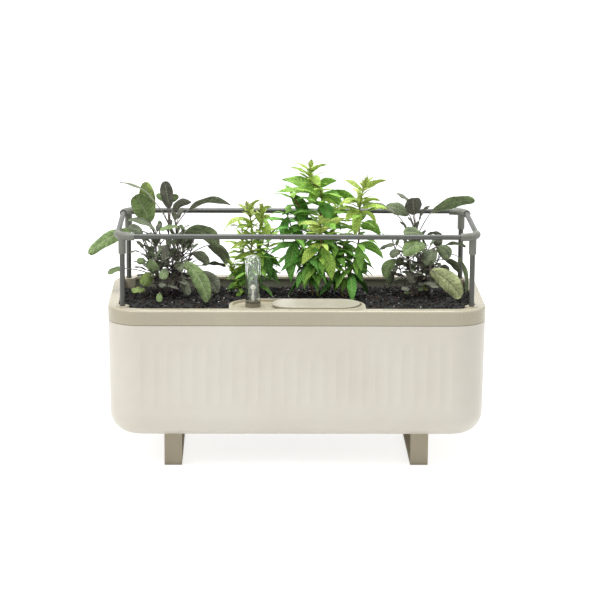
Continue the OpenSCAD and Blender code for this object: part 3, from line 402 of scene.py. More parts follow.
# The herbs: living garden sage and lemon verbena, rooted in the mix. Sage leaves are thick,
# pebbled and felted, from purple-grey to grey-green. Verbena leaves are thin and bright,
# with plain side veins.
def leaf_material(name, ramp_colours, vein, pairs, pebble, groove, mottle, roughness, felt):
    """A leaf. Its UV map runs along it and across it, and 'shade' picks its colour on the
    ramp. The side veins, so many pairs of them, lean towards the tip. The pebbles of its
    skin, its patches and the grooves over its veins are in millimetres."""
    lean, leaf_patch = 0.13, 11.1
    material = new_material(name)
    uv = put(material, "SeparateXYZ", {0: put(material, "UVMap", uv_map="leaf")}).outputs
    from_rib = put(material, "Math", {0: uv["Y"], 1: 0.5}, operation="SUBTRACT")
    half_way = put(material, "Math", {0: from_rib}, operation="ABSOLUTE")
    off_rib = put(material, "Math", {0: half_way, 1: 2}, operation="MULTIPLY")
    midrib = put(material, "MapRange", {"Value": off_rib, "From Min": 0.11,
                                        "From Max": 0.03})
    climb = put(material, "Math", {0: off_rib, 1: lean * pairs}, operation="MULTIPLY")
    ladder = put(material, "Math", {0: uv["X"], 1: pairs}, operation="MULTIPLY")
    leaning = put(material, "Math", {0: ladder, 1: climb}, operation="SUBTRACT")
    rung = put(material, "Math", {0: leaning}, operation="FRACT")
    off_middle = put(material, "Math", {0: rung, 1: 0.5}, operation="SUBTRACT")
    half_rung = put(material, "Math", {0: off_middle}, operation="ABSOLUTE")
    fold = put(material, "Math", {0: half_rung, 1: 2}, operation="MULTIPLY")
    side_vein = put(material, "MapRange", {"Value": fold, "From Min": 0.6, "From Max": 1})

    shade = put(material, "Attribute", attribute_name="shade").outputs["Fac"]
    ramp = put(material, "ValToRGB", {0: shade})
    stops = ramp.color_ramp.elements
    while len(stops) < len(ramp_colours):
        stops.new(1)
    for i, value in enumerate(ramp_colours):
        stops[i].position = i / (len(ramp_colours) - 1)
        stops[i].color = linear(value)

    # The skin is mottled at random. Painted shade darkens it between its pebbles and over the
    # sunk side veins, which are the hollows of its relief, and the midrib is tinted half way
    # to the colour of a vein.
    place = put(material, "TexCoord").outputs["Object"]
    cells = put(material, "TexVoronoi", {"Vector": place, "Scale": 1000 / pebble})
    patches = put(material, "TexNoise", {"Vector": place, "Scale": 1000 / leaf_patch,
                                         "Detail": 5})
    dark = put(material, "MapRange", {"Value": patches, "From Min": 0.3, "From Max": 0.7,
                                      "To Min": 1 - mottle, "To Max": 1 + mottle})
    # Painted shade: the skin darkens away from each pebble's middle, where the relief sinks.
    grain = put(material, "MapRange", {"Value": cells, "From Max": 0.8, "To Min": 1.2,
                                       "To Max": 0.7})
    # Painted shade over the side veins, which the relief sinks into grooves.
    painted_groove_shade = put(material, "MapRange", {"Value": side_vein, "To Min": 1.06,
                                        "To Max": 0.74})
    skin = put(material, "Math", {0: dark, 1: grain}, operation="MULTIPLY")
    value = put(material, "Math", {0: skin, 1: painted_groove_shade}, operation="MULTIPLY")
    mottled_with_painted_shade = put(material, "HueSaturation", {"Color": ramp, "Value": value})
    pale_rib = put(material, "Math", {0: midrib, 1: 0.5}, operation="MULTIPLY")
    colour = put(material, "Mix", {0: pale_rib, 6: mottled_with_painted_shade, 7: linear(vein)}, data_type="RGBA")

    veins = put(material, "Math", {0: side_vein, 1: midrib}, operation="MAXIMUM")
    sunk = put(material, "Math", {0: veins, 1: -groove / pebble}, operation="MULTIPLY")
    bumps = put(material, "Math", {0: cells, 1: 0.5}, operation="MULTIPLY")
    height = put(material, "Math", {0: sunk, 1: bumps}, operation="SUBTRACT")
    relief = put(material, "Bump", {"Height": height, "Strength": 0.8,
                                    "Distance": pebble / 1000})
    surface(material, {"Base Color": colour.outputs[2], "Roughness": roughness, "IOR": 1.42,
                       "Sheen Weight": felt, "Sheen Roughness": 0.5, "Normal": relief})
    return material


def stem_material(name, low, high):
    """A stem: from woody to green in patches, and streaked along its growth."""
    streak_wide, streak_long, stem_patch = 1.11, 16.7, 22.2
    material = new_material(name)
    place = put(material, "TexCoord").outputs["Object"]
    streaks = put(material, "Mapping", {"Vector": place, "Scale": (
        1000 / streak_wide, 1000 / streak_wide, 1000 / streak_long)})
    grain = put(material, "TexNoise", {"Vector": streaks, "Scale": 1, "Detail": 3})
    patches = put(material, "TexNoise", {"Vector": place, "Scale": 1000 / stem_patch})
    tone = put(material, "MapRange", {"Value": patches, "From Min": 0.38, "From Max": 0.62})
    colour = put(material, "Mix", {0: tone, 6: linear(low), 7: linear(high)},
                 data_type="RGBA")
    relief = put(material, "Bump", {"Height": grain, "Strength": 0.4, "Distance": 0.0003})
    surface(material, {"Base Color": colour.outputs[2], "Roughness": 0.6,
                       "Normal": relief})
    return material


# Sage is felted with fine hairs, so it is matt and greyish and its edges look pale.
sage_leaf = leaf_material(
    "felted sage leaf", ["#56514A", "#80856F", "#78895D", "#8AA65F", "#B0BD5A"],
    vein="#A9B28E", pairs=9, pebble=1.6, groove=0.5, mottle=0.38, roughness=0.78, felt=0.25)

# The underside is paler than the face, and its veins stand out dark.
sage_underside = leaf_material(
    "felted underside of a sage leaf", ["#8F9A6E", "#A3AE7C", "#A3AE7C", "#B4BC86", "#BCC28E"],
    vein="#54402F", pairs=9, pebble=1.8, groove=0.3, mottle=0.2, roughness=0.8, felt=0.3)

# Verbena is smooth and has a soft gloss, deep green when old and yellow-green at the tips.
verbena_leaf = leaf_material(
    "lemon verbena leaf", ["#468A35", "#6CB046", "#9CD156", "#C8E868", "#E1F08C"],
    vein="#B9D77C", pairs=10, pebble=3, groove=0.9, mottle=0.14, roughness=0.44, felt=0)

# Sage stems are dull purple-brown with paler bark, and verbena stems are reddish to green.
sage_stem = stem_material("sage stem", "#4B3B41", "#8A7E78")
verbena_stem = stem_material("verbena stem", "#7A4A3A", "#8FA350")

# How blunt a blade is at its base and at its tip: lower is blunter.
sage_outline, verbena_outline = (0.55, 0.45), (0.75, 1.1)

# A blade's section, as shares of its half width: its edges drop, the midrib is sunk over a
# short reach, and the outline is faintly scalloped. Its edges wave by a share of its width.
# Half its thickness, at the middle and at the very edge, is in millimetres.
edge_drop, rib_dip, rib_reach, scallop, edge_wave = 0.2, 0.12, 0.22, 0.02, 0.06
half_thick, half_edge = 0.3, 0.02


def blade_width(t, base, tip):
    """Half width along a blade, 1 at the widest; a low power makes that end blunt."""
    widest = base / (base + tip)
    return (t / widest) ** base * ((1 - t) / (1 - widest)) ** tip


def blade(points, faces, maps, row, outline, rng):
    """One leaf blade from a row of base, tip, width, arch and turn in millimetres. At turn
    0 its face is to the front, at 90 it is up, and with no turn it is up but rolled by
    chance. Two skins of quads meet in a thin edge, so the blade is a closed solid."""
    start, end, width, arch, turn = row
    length = (end - start).length
    chord = (end - start).normalized()
    up = Vector((0, 0, 1))
    if turn is None:
        # A hundredth of the face gives an upright leaf, too, a side to bow to.
        roll = 0.4
        face = (up - chord.z * chord).normalized()
        face = (face + roll * rng.uniform(-1, 1) * chord.cross(face)).normalized()
        bow = 2 * arch * (up - chord.z * chord + 0.01 * face).normalized()
    else:
        # The viewer stands in front and a little above, and leaves bow up and back.
        view, bow_back = Vector((0.1, -1, 0.2)), 0.15
        front = (view - view.dot(chord) * chord).normalized()
        face = (math.cos(math.radians(turn)) * front
                + math.sin(math.radians(turn)) * chord.cross(front))
        bow = 2 * arch * (up - chord.z * chord - bow_back * front).normalized()
    side = chord.cross(face)
    long_leaf = 35
    along_steps, across_steps = (20, 8) if length > long_leaf else (12, 6)
    waves, phase = rng.uniform(1.5, 2.6), rng.uniform(0, full_turn)
    first = len(points)
    row_size = across_steps + 1
    for skin in (1, -1):
        for i in range(along_steps + 1):
            # The rows lie closer together towards the base and the tip.
            part = i / along_steps
            t = 0.5 * part + 0.25 * (1 - math.cos(math.pi * part))
            centre = start + t * (end - start) + 2 * t * (1 - t) * bow
            heading = (end - start + (2 - 4 * t) * bow).normalized()
            out = side.cross(heading)
            half = width / 2 * blade_width(t, *outline) * (1 + scallop * math.sin(2.4 * i))
            for j in range(row_size):
                v = 2 * j / across_steps - 1
                level = (-edge_drop * half * v * v
                         - rib_dip * half * math.exp(-(v / rib_reach) ** 2))
                level += (edge_wave * width * v * v
                          * math.sin(waves * full_turn * t + phase + 1.5 * v))
                # Close to its stalk the blade is flatter.
                level *= min(1, 4 * t + 0.2)
                level += skin * (half_thick * (1 - v ** 4) + half_edge)
                points.append((centre + half * v * side + level * out) / 1000)
                maps.append((t, (v + 1) / 2))
    skin_size = row_size * (along_steps + 1)
    for i in range(along_steps):
        for j in range(across_steps):
            a = first + i * row_size + j
            b = a + skin_size
            faces.append([a, a + row_size, a + row_size + 1, a + 1])
            faces.append([b, b + 1, b + row_size + 1, b + row_size])
        for j in (0, across_steps):
            a = first + i * row_size + j
            edge = [a, a + skin_size, a + skin_size + row_size, a + row_size]
            faces.append(edge if j == 0 else edge[::-1])
    for i in (0, along_steps):
        for j in range(across_steps):
            a = first + i * row_size + j
            edge = [a, a + 1, a + 1 + skin_size, a + skin_size]
            faces.append(edge if i == 0 else edge[::-1])


def at_height(path, z):
    """The point of a stem at a height."""
    for low, high in zip(path, path[1:]):
        if high.z >= z or high is path[-1]:
            return low + (z - low.z) / (high.z - low.z) * (high - low)


def smooth_path(path, steps):
    """Rounds a path through its points, as a Catmull-Rom curve."""
    if len(path) < 3:
        return path
    ends = [2 * path[0] - path[1]] + path + [2 * path[-1] - path[-2]]
    out = []
    for a, b, c, d in zip(ends, ends[1:], ends[2:], ends[3:]):
        for k in range(steps):
            t = k / steps
            out.append(0.5 * (2 * b + (c - a) * t + (2 * a - 5 * b + 4 * c - d) * t * t
                              + (3 * b - a - 3 * c + d) * t ** 3))
    return out + [path[-1]]


def whorls(rng, path, low, high, gap, count, sizes, slim, shades, slopes, stalk):
    """Leaves round a stem: a ring of them at every gap, turned half a step from the last.
    Sizes, shades and slopes run from the lowest ring to the highest, and chance moves each
    leaf a little. Slim, arch and stalk are shares of a leaf's length."""
    swing, sway, steepest = 25, 14, 80
    size_least, size_most, shade_spread = 0.7, 1.2, 0.1
    arch, stalk_lift = 0.13, Vector((0, 0, 0.25))
    rings = max(round((high - low) / gap), 1)
    twist = rng.uniform(0, 360)
    for ring in range(rings + 1):
        up = ring / rings
        foot = at_height(path, low + (high - low) * up)
        for k in range(count):
            angle = math.radians(twist + 360 * k / count + rng.uniform(-swing, swing))
            slope = slopes[0] + (slopes[1] - slopes[0]) * up + rng.uniform(-sway, sway)
            slope = math.radians(min(slope, steepest))
            flat = Vector((math.cos(angle), math.sin(angle), 0))
            heading = math.cos(slope) * flat + Vector((0, 0, math.sin(slope)))
            size = sizes[0] + (sizes[1] - sizes[0]) * up
            size *= rng.uniform(size_least, size_most)
            shade = shades[0] + (shades[1] - shades[0]) * up
            shade += rng.uniform(-shade_spread, shade_spread)
            start = foot + stalk * size * (heading + stalk_lift)
            yield foot, (start, start + size * heading, slim * size, arch * size, None, shade)
        twist += 180 / count


def thicket(rng, count, spread, low, high):
    """Thin young stems that fan out of the root, each at the golden angle to the last, as
    paths in millimetres with their radius below and above."""
    golden_angle, foot_depth, least_reach, depth_share = 137.5, 8, 0.35, 0.8
    r_low, r_high = 1.2, 0.8
    for k in range(count):
        angle = math.radians(golden_angle * k)
        flat = Vector((math.cos(angle), depth_share * math.sin(angle), 0))
        foot = rng.uniform(3, 9) * flat - Vector((0, 0, foot_depth))
        top = (rng.uniform(least_reach, 1) * spread * flat
               + Vector((0, 0, rng.uniform(low, high))))
        # It bends outwards a little below its middle.
        bend = 0.55 * foot + 0.45 * top + 0.08 * spread * flat
        yield [foot, bend, top], r_low, r_high


def grow(name, at, stems, rings, materials, outline, seed, stalked=(), sitting=(),
         fan=(0, 0, 0, 0), veined=()):
    """Grows one plant as one piece: stems, stalks and blades, from rows in millimetres.
    A row of stems is its points and its radius below and above. A sitting leaf's row is
    base, tip, width, arch, turn and shade, and a stalked one has its stem's number and the
    stalk's height before that. A row of rings is its stem's number and what whorls takes.
    The fan is what thicket takes. Veined leaves, by number, get the third material."""
    root_depth, bare_share, tint = 3, 0.35, 0.06
    stalk_rise, stalk_in_leaf, stalk_taper = 0.06, 0.2, (1, 0.6)
    # The gap, count, sizes, slimness, shades, slopes and stalk share of young leaves.
    young_leaves = (15, 2, (22, 15), 0.5, (0.2, 0.42), (5, 60), 0.5)
    root = Vector((*at, 1000 * soil_top - root_depth))
    rng = random.Random(seed)
    # One millimetre, times the radius at each point.
    curve = bpy.data.curves.new(name + "_stems", "CURVE")
    curve.dimensions = "3D"
    curve.bevel_depth = 0.001
    curve.bevel_resolution = 1
    curve.use_fill_caps = True

    def tube(path, r_low, r_high):
        line = curve.splines.new("POLY")
        line.points.add(len(path) - 1)
        for k, p in enumerate(path):
            line.points[k].co = [*((p + root) / 1000), 1]
            line.points[k].radius = r_low + (r_high - r_low) * k / (len(path) - 1)

    def stalk(foot, base, tip):
        bend = (foot + base) / 2 + Vector((0, 0, stalk_rise * (base - foot).length))
        end = base + stalk_in_leaf * (tip - base)
        tube(smooth_path([foot, bend, base, end], 4), *stalk_taper)

    paths = []
    for points_mm, r_low, r_high in stems:
        paths.append(smooth_path([Vector(p) for p in points_mm], 5))
        tube(paths[-1], r_low, r_high)
    leaves = []
    for stem_number, height, *leaf in stalked:
        base, tip = Vector(leaf[0]), Vector(leaf[1])
        stalk(at_height(paths[stem_number], height), base, tip)
        leaves.append([base, tip, *leaf[2:]])
    leaves += [[Vector(leaf[0]), Vector(leaf[1]), *leaf[2:]] for leaf in sitting]
    for stem_number, *ring in rings:
        for foot, leaf in whorls(rng, paths[stem_number], *ring):
            if ring[-1]:
                stalk(foot, leaf[0], leaf[1])
            leaves.append(leaf)
    for points_mm, r_low, r_high in thicket(rng, *fan):
        path = smooth_path(points_mm, 4)
        tube(path, r_low, r_high)
        top = points_mm[-1].z
        for foot, leaf in whorls(rng, path, bare_share * top, top, *young_leaves):
            stalk(foot, leaf[0], leaf[1])
            leaves.append(leaf)

    points, faces, maps, shades, kinds = [], [], [], [], []
    for number, (base, tip, width, arch, turn, shade) in enumerate(leaves):
        count = len(faces)
        blade(points, faces, maps, (base + root, tip + root, width, arch, turn), outline, rng)
        made = len(faces) - count
        shades += [min(max(shade + rng.uniform(-tint, tint), 0), 1)] * made
        kinds += [2 if number in veined else 0] * made
    herb = joined(name + "_herb", points, faces, materials)
    herb.data.polygons.foreach_set("material_index", kinds)
    uv = herb.data.uv_layers.new(name="leaf")
    for corner in herb.data.loops:
        uv.data[corner.index].uv = maps[corner.vertex_index]
    tone = herb.data.attributes.new("shade", "FLOAT", "FACE")
    tone.data.foreach_set("value", shades)

    stem_piece = bpy.data.objects.new(name + "_stems", curve)
    bpy.context.scene.collection.objects.link(stem_piece)
    deselect()
    stem_piece.select_set(True)
    bpy.context.view_layer.objects.active = stem_piece
    bpy.ops.object.convert(target="MESH")
    stem_piece = bpy.context.object
    stem_piece.data.materials.clear()
    for material in materials:
        stem_piece.data.materials.append(material)
    for face in stem_piece.data.polygons:
        face.material_index = 1
    deselect()
    stem_piece.select_set(True)
    herb.select_set(True)
    bpy.context.view_layer.objects.active = herb
    bpy.ops.object.join()
    bpy.ops.object.mode_set(mode="EDIT")
    bpy.ops.mesh.select_all(action="SELECT")
    bpy.ops.mesh.remove_doubles(threshold=0.00001)
    bpy.ops.mesh.normals_make_consistent(inside=False)
    bpy.ops.object.mode_set(mode="OBJECT")
    bpy.ops.object.shade_smooth_by_angle(angle=math.radians(50))
    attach(herb, "insert")
    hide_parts(name)


# Garden sage at the left of the tub, rooted in the mix: three woody stems and a short one,
# with large felted leaves on long stalks, some of which hang over the rim.
grow("sage_left", at=(-210, 15), stems=[
    ([(-9, -4, -10), (-15, -3, 40), (-18, 0, 104)], 2.2, 1.4),
    ([(0, 0, -10), (2, 0, 60), (4, 0, 124)], 2.2, 1.4),
    ([(8, 2, -10), (18, 2, 60), (15, 0, 122)], 2.2, 1.4),
    ([(16, 6, -8), (24, 5, 62)], 2.2, 1.4),
], stalked=[
    (0, 102, (-26, 10, 122), (-34, 12, 188), 26, 0, 5, 0.85),
    (0, 98, (-27, 4, 122), (-50, 0, 168), 34, 2, -10, 0.72),
    (1, 120, (-16, -5, 155), (-74, -8, 190), 18, 10, 80, 0.3),
    (1, 120, (5, 0, 146), (-2, -6, 192), 21, 0, 0, 0.08),
    (1, 122, (1, 8, 156), (-16, 12, 168), 12, 1, 10, 0.6),
    (1, 122, (6, 8, 156), (19, 12, 166), 12, 1, 10, 0.55),
    (2, 116, (10, -2, 142), (40, -8, 159), 15, 5, 30, 0.12),
    (2, 118, (36, -8, 145), (105, -14, 154), 20, 11, 60, 0.4),
    (0, 100, (-55, 8, 110), (-127, 8, 70), 24, 7, 30, 0.66),
    (0, 94, (-18, -8, 112), (-62, -12, 130), 20, 8, 60, 0.35),
    (0, 90, (-37, -20, 106), (-60, -26, 121), 16, 3, 20, 0.3),
    (2, 100, (20, -15, 120), (-10, -22, 115), 14, 3, 60, 0.6),
    (2, 92, (30, -6, 110), (86, -12, 85), 30, 10, 40, 0.55),
    (2, 84, (14, 10, 96), (40, 16, 82), 24, 4, 20, 0.3),
    (3, 60, (67, 10, 84), (99, 10, 54), 20, 6, 30, 0.35),
    (3, 48, (56, 15, 50), (96, 20, 47), 16, 3, 70, 0.35),
    (2, 66, (42, -10, 75), (68, -16, 57), 18, 4, 30, 0.35),
    (2, 52, (30, -40, 67), (68, -75, 8), 25, 8, 15, 0.55),
    (3, 36, (50, -14, 44), (83, -24, 12), 28, 4, 15, 0.2),
    (2, 26, (28, -24, 34), (36, -34, 10), 14, 0, 0, 0.25),
    (0, 34, (-70, -10, 50), (-95, -15, 42), 14, 3, 50, 0.5),
    (0, 52, (-38, -18, 74), (-59, -24, 78), 10, 5, 80, 0.2),
    (0, 46, (-32, -32, 66), (-47, -36, 66), 12, 1, 20, 0.5),
    (0, 24, (-12, -36, 50), (-30, -44, 68), 18, 0, 10, 0.6),
    (1, 32, (2, -46, 57), (-6, -60, 42), 15, 0, 0, 0.55),
    (0, 20, (-24, -26, 46), (-38, -34, 26), 20, 0, 0, 0.8),
    (0, 8, (-33, -26, 18), (-56, -34, 17), 14, 2, 50, 0.76),
    (0, 3, (-10, -52, 18), (-10, -66, 6), 10, 0, 0, 0.7),
    (1, 78, (-2, -28, 90), (0, -34, 62), 14, 0, 0, 0.1),
    (1, 40, (14, -28, 60), (28, -40, 52), 14, 2, 10, 0.4),
    (0, 60, (-6, -20, 70), (-22, -28, 70), 12, 1, 15, 0.3),
], rings=[
    (0, 30, 100, 18, 2, (26, 18), 0.5, (0.35, 0.3), (5, 50), 0.45),
    (1, 40, 122, 16, 2, (24, 16), 0.5, (0.3, 0.15), (10, 60), 0.45),
    (2, 30, 118, 18, 2, (26, 18), 0.5, (0.35, 0.2), (5, 50), 0.45),
], fan=(13, 50, 50, 100), materials=[sage_leaf, sage_stem], outline=sage_outline, seed=21)


# Young lemon verbena behind the gauge, rooted in the mix: two main stems with yellow-green
# tips and three thinner side shoots, all closely leaved.
grow("verbena_small", at=(-72, 30), stems=[
    ([(0, 0, -10), (-1, 0, 58), (0, 0, 112), (-7, 0, 147)], 2.2, 1),
    ([(6, 3, -10), (9, 2, 60), (14, 2, 115), (15, 2, 143)], 2.2, 1),
    ([(-4, -2, -10), (-22, -8, 22), (-34, -10, 52)], 1.6, 1),
    ([(8, 4, -10), (20, 6, 50), (30, 8, 100)], 1.8, 1),
    ([(-4, 6, -10), (-12, 10, 50), (-16, 12, 110)], 1.8, 1),
], sitting=[
    ((-5, 0, 138), (-24, -4, 152), 8, 3, 45, 0.9),
    ((-5, 0, 139), (16, -4, 160), 9, 4, 45, 0.85),
    ((-7, 0, 145), (-9, -3, 158), 6, 0, 0, 0.95),
    ((-1, 0, 124), (-45, -8, 108), 12, 12, 50, 0.9),
    ((0, 0, 112), (-27, -8, 111), 10, 6, 50, 0.75),
    ((0, 0, 102), (-20, -12, 97), 12, 3, 20, 0.85),
    ((15, 2, 138), (36, -2, 146), 8, 4, 50, 0.85),
    ((15, 2, 141), (17, -1, 154), 7, 0, 0, 0.95),
    ((14, 2, 126), (35, -5, 122), 10, 6, 40, 0.85),
    ((14, 2, 112), (30, -8, 99), 12, 3, 30, 0.8),
    ((-1, 0, 86), (-34, -8, 78), 10, 6, 40, 0.8),
    ((-1, 0, 70), (-30, -5, 58), 10, 3, 30, 0.75),
    ((10, 2, 80), (31, -12, 28), 20, 5, 0, 0.1),
    ((9, 2, 52), (44, -8, 24), 16, 5, 15, 0.15),
    ((9, 3, 64), (48, 6, 46), 15, 5, 15, 0.3),
    ((-1, 0, 46), (-38, -10, 32), 16, 3, 20, 0.45),
    ((-1, 0, 28), (-40, -16, 13), 15, 3, 20, 0.4),
    ((-1, -1, 38), (-20, -24, 20), 14, 3, 20, 0.3),
    ((10, 1, 72), (18, -22, 50), 10, 3, 10, 0.6),
], rings=[
    (0, 20, 128, 9, 3, (39, 27), 0.26, (0.43, 0.93), (-10, 35), 0),
    (1, 20, 128, 9, 3, (39, 27), 0.26, (0.38, 0.93), (-10, 35), 0),
    (0, 132, 146, 5, 4, (16, 12), 0.3, (0.93, 0.97), (30, 70), 0),
    (1, 130, 142, 5, 4, (16, 12), 0.3, (0.93, 0.97), (30, 70), 0),
    (2, 8, 50, 6, 4, (20, 17), 0.42, (0.6, 0.82), (-20, 40), 0),
    (3, 20, 98, 10, 3, (42, 32), 0.28, (0.23, 0.68), (-35, 30), 0),
    (4, 16, 108, 10, 3, (37, 30), 0.26, (0.48, 0.88), (-20, 30), 0),
], materials=[verbena_leaf, verbena_stem], outline=verbena_outline, seed=22)


# Tall lemon verbena in the middle, rooted in the mix: a main stem that bends at its top,
# with two branches to the left, a young shoot in front and a second stem behind.
grow("verbena_centre", at=(35, 5), stems=[
    ([(0, 0, -10), (1, 0, 55), (3, 0, 110), (6, 0, 166), (1, 0, 183), (-11, 0, 191),
      (-15, 0, 205), (-13, 0, 218)], 2.4, 1),
    ([(3, 0, 98), (-25, 6, 140), (-43, 12, 172)], 1.8, 1.2),
    ([(1, 0, 50), (-32, -4, 90), (-50, -5, 140)], 1.8, 1.2),
    ([(1, 0, 36), (5, -18, 90), (2, -32, 133)], 1.8, 1),
    ([(-4, 4, -10), (-18, 8, 60), (-28, 12, 126)], 1.8, 1),
], sitting=[
    ((-15, 0, 204), (-45, -6, 217), 9, 3, 50, 0.7),
    ((-14, 0, 212), (-37, 6, 222), 7, 2, 50, 0.7),
    ((-14, 0, 206), (16, -5, 221), 9, 4, 50, 0.7),
    ((-13, 0, 216), (-11, -3, 230), 9, 0, 0, 0.8),
    ((-14, -1, 202), (3, -16, 186), 14, 4, 0, 0.72),
    ((1, 0, 184), (30, -6, 195), 15, 4, 25, 0.5),
    ((-11, 0, 191), (-30, 6, 194), 8, 2, 50, 0.6),
    ((0, -1, 180), (-59, -9, 197), 20, 6, 25, 0.5),
    ((2, 1, 176), (-69, 14, 173), 14, 5, 45, 0.5),
    ((2, -1, 178), (-16, -20, 158), 16, 3, 0, 0.55),
    ((-42, 12, 170), (-18, 16, 118), 20, 6, 10, 0.3),
    ((5, -1, 172), (40, -8, 152), 20, 6, 20, 0.35),
    ((6, 1, 168), (65, 12, 160), 18, 7, 40, 0.4),
    ((5, -1, 158), (20, -18, 130), 21, 4, 5, 0.25),
    ((6, -1, 163), (30, -22, 155), 9, 4, 50, 0.7),
    ((-30, 8, 150), (-26, -6, 122), 18, 4, 5, 0.25),
    ((-34, -4, 98), (-42, -20, 30), 21, 7, 5, 0.3),
    ((-49, -5, 136), (-56, -16, 96), 14, 4, 5, 0.2),
    ((-42, -5, 120), (-22, -20, 84), 16, 3, 0, 0.2),
    ((-24, -3, 80), (-30, -6, 50), 14, 4, 5, 0.35),
    ((-8, -1, 60), (-22, -26, 20), 16, 5, 0, 0.4),
    ((1, 0, 66), (5, -10, 34), 10, 2, 10, 0.2),
    ((5, -18, 88), (22, -36, 36), 21, 6, 0, 0.6),
    ((4, -20, 94), (-27, -38, 62), 17, 5, 10, 0.8),
    ((2, -31, 129), (-33, -38, 128), 10, 4, 45, 0.85),
    ((3, -27, 116), (-20, -46, 124), 11, 3, 10, 0.9),
    ((3, -27, 114), (45, -38, 140), 13, 5, 20, 0.85),
    ((2, -31, 129), (22, -44, 138), 8, 3, 50, 0.85),
    ((2, -32, 131), (5, -38, 145), 8, 0, 0, 0.9),
    ((5, 1, 140), (38, 6, 112), 20, 6, 5, 0.35),
    ((2, 1, 98), (33, 8, 68), 18, 5, 5, 0.3),
], rings=[
    (0, 56, 164, 13, 3, (53, 50), 0.29, (0.23, 0.58), (-35, 15), 0),
    (0, 170, 200, 8, 3, (39, 25), 0.25, (0.58, 0.78), (0, 30), 0),
    (0, 202, 214, 5, 4, (18, 12), 0.3, (0.73, 0.88), (25, 62), 0),
    (1, 104, 170, 10, 3, (53, 43), 0.29, (0.28, 0.48), (-40, 10), 0),
    (2, 60, 138, 11, 3, (53, 41), 0.29, (0.23, 0.38), (-45, 5), 0),
    (3, 44, 118, 12, 3, (46, 32), 0.26, (0.38, 0.83), (-35, 20), 0),
    (3, 120, 132, 5, 4, (20, 14), 0.3, (0.88, 0.97), (20, 70), 0),
    (4, 40, 124, 12, 3, (51, 41), 0.28, (0.23, 0.53), (-45, 10), 0),
], materials=[verbena_leaf, verbena_stem], outline=verbena_outline, seed=23)


# Lemon verbena to the right of the middle, rooted in the mix: a slender main stem with a
# low side shoot, and a second stem behind.
grow("verbena_right", at=(82, 0), stems=[
    ([(0, 0, -10), (4, 0, 36), (18, 0, 89), (20, 0, 150), (24, 0, 174), (30, 0, 194)],
     2.2, 0.9),
    ([(4, 0, 36), (-4, 4, 60), (-6, 6, 90)], 1.4, 1),
    ([(-4, 6, -10), (-14, 10, 60), (-22, 12, 120), (-22, 12, 150)], 1.8, 1),
], sitting=[
    ((25, 0, 178), (-8, -6, 198), 11, 4, 40, 0.85),
    ((26, 0, 179), (63, -6, 197), 12, 4, 40, 0.85),
    ((29, 0, 190), (32, -3, 202), 7, 0, 0, 0.9),
    ((28, 0, 186), (24, 5, 198), 5, 0, 0, 0.9),
    ((21, -1, 157), (56, -9, 163), 10, 5, 55, 0.8),
    ((21, -1, 160), (-16, -26, 158), 12, 7, 45, 0.85),
    ((20, -1, 145), (47, -12, 121), 10, 8, 50, 0.8),
    ((20, 1, 122), (55, 6, 103), 19, 8, 25, 0.45),
    ((20, -1, 147), (12, -22, 106), 15, 3, 0, 0.75),
    ((20, -1, 148), (-4, -18, 130), 14, 5, 15, 0.7),
    ((18, 0, 92), (59, -6, 68), 15, 7, 25, 0.35),
    ((18, -1, 90), (22, -24, 50), 15, 4, 0, 0.35),
    ((13, 1, 70), (32, 6, 38), 13, 6, 10, 0.3),
    ((9, 0, 54), (26, -12, 30), 11, 3, 10, 0.3),
    ((4, -1, 36), (-8, -14, 14), 9, 3, 10, 0.5),
    ((3, 1, 32), (-16, 8, 18), 10, 3, 20, 0.4),
    ((-5, 6, 82), (-14, 4, 48), 14, 4, 5, 0.35),
    ((-6, 6, 88), (8, 10, 62), 14, 4, 10, 0.35),
], rings=[
    (0, 44, 150, 12, 3, (49, 43), 0.28, (0.28, 0.73), (-40, 15), 0),
    (0, 156, 182, 7, 3, (32, 23), 0.25, (0.78, 0.93), (10, 40), 0),
    (0, 184, 193, 4, 4, (14, 11), 0.3, (0.93, 0.97), (30, 70), 0),
    (1, 44, 88, 10, 3, (30, 23), 0.28, (0.38, 0.58), (-30, 20), 0),
    (2, 36, 146, 11, 3, (51, 41), 0.28, (0.23, 0.68), (-45, 10), 0),
], materials=[verbena_leaf, verbena_stem], outline=verbena_outline, seed=24)


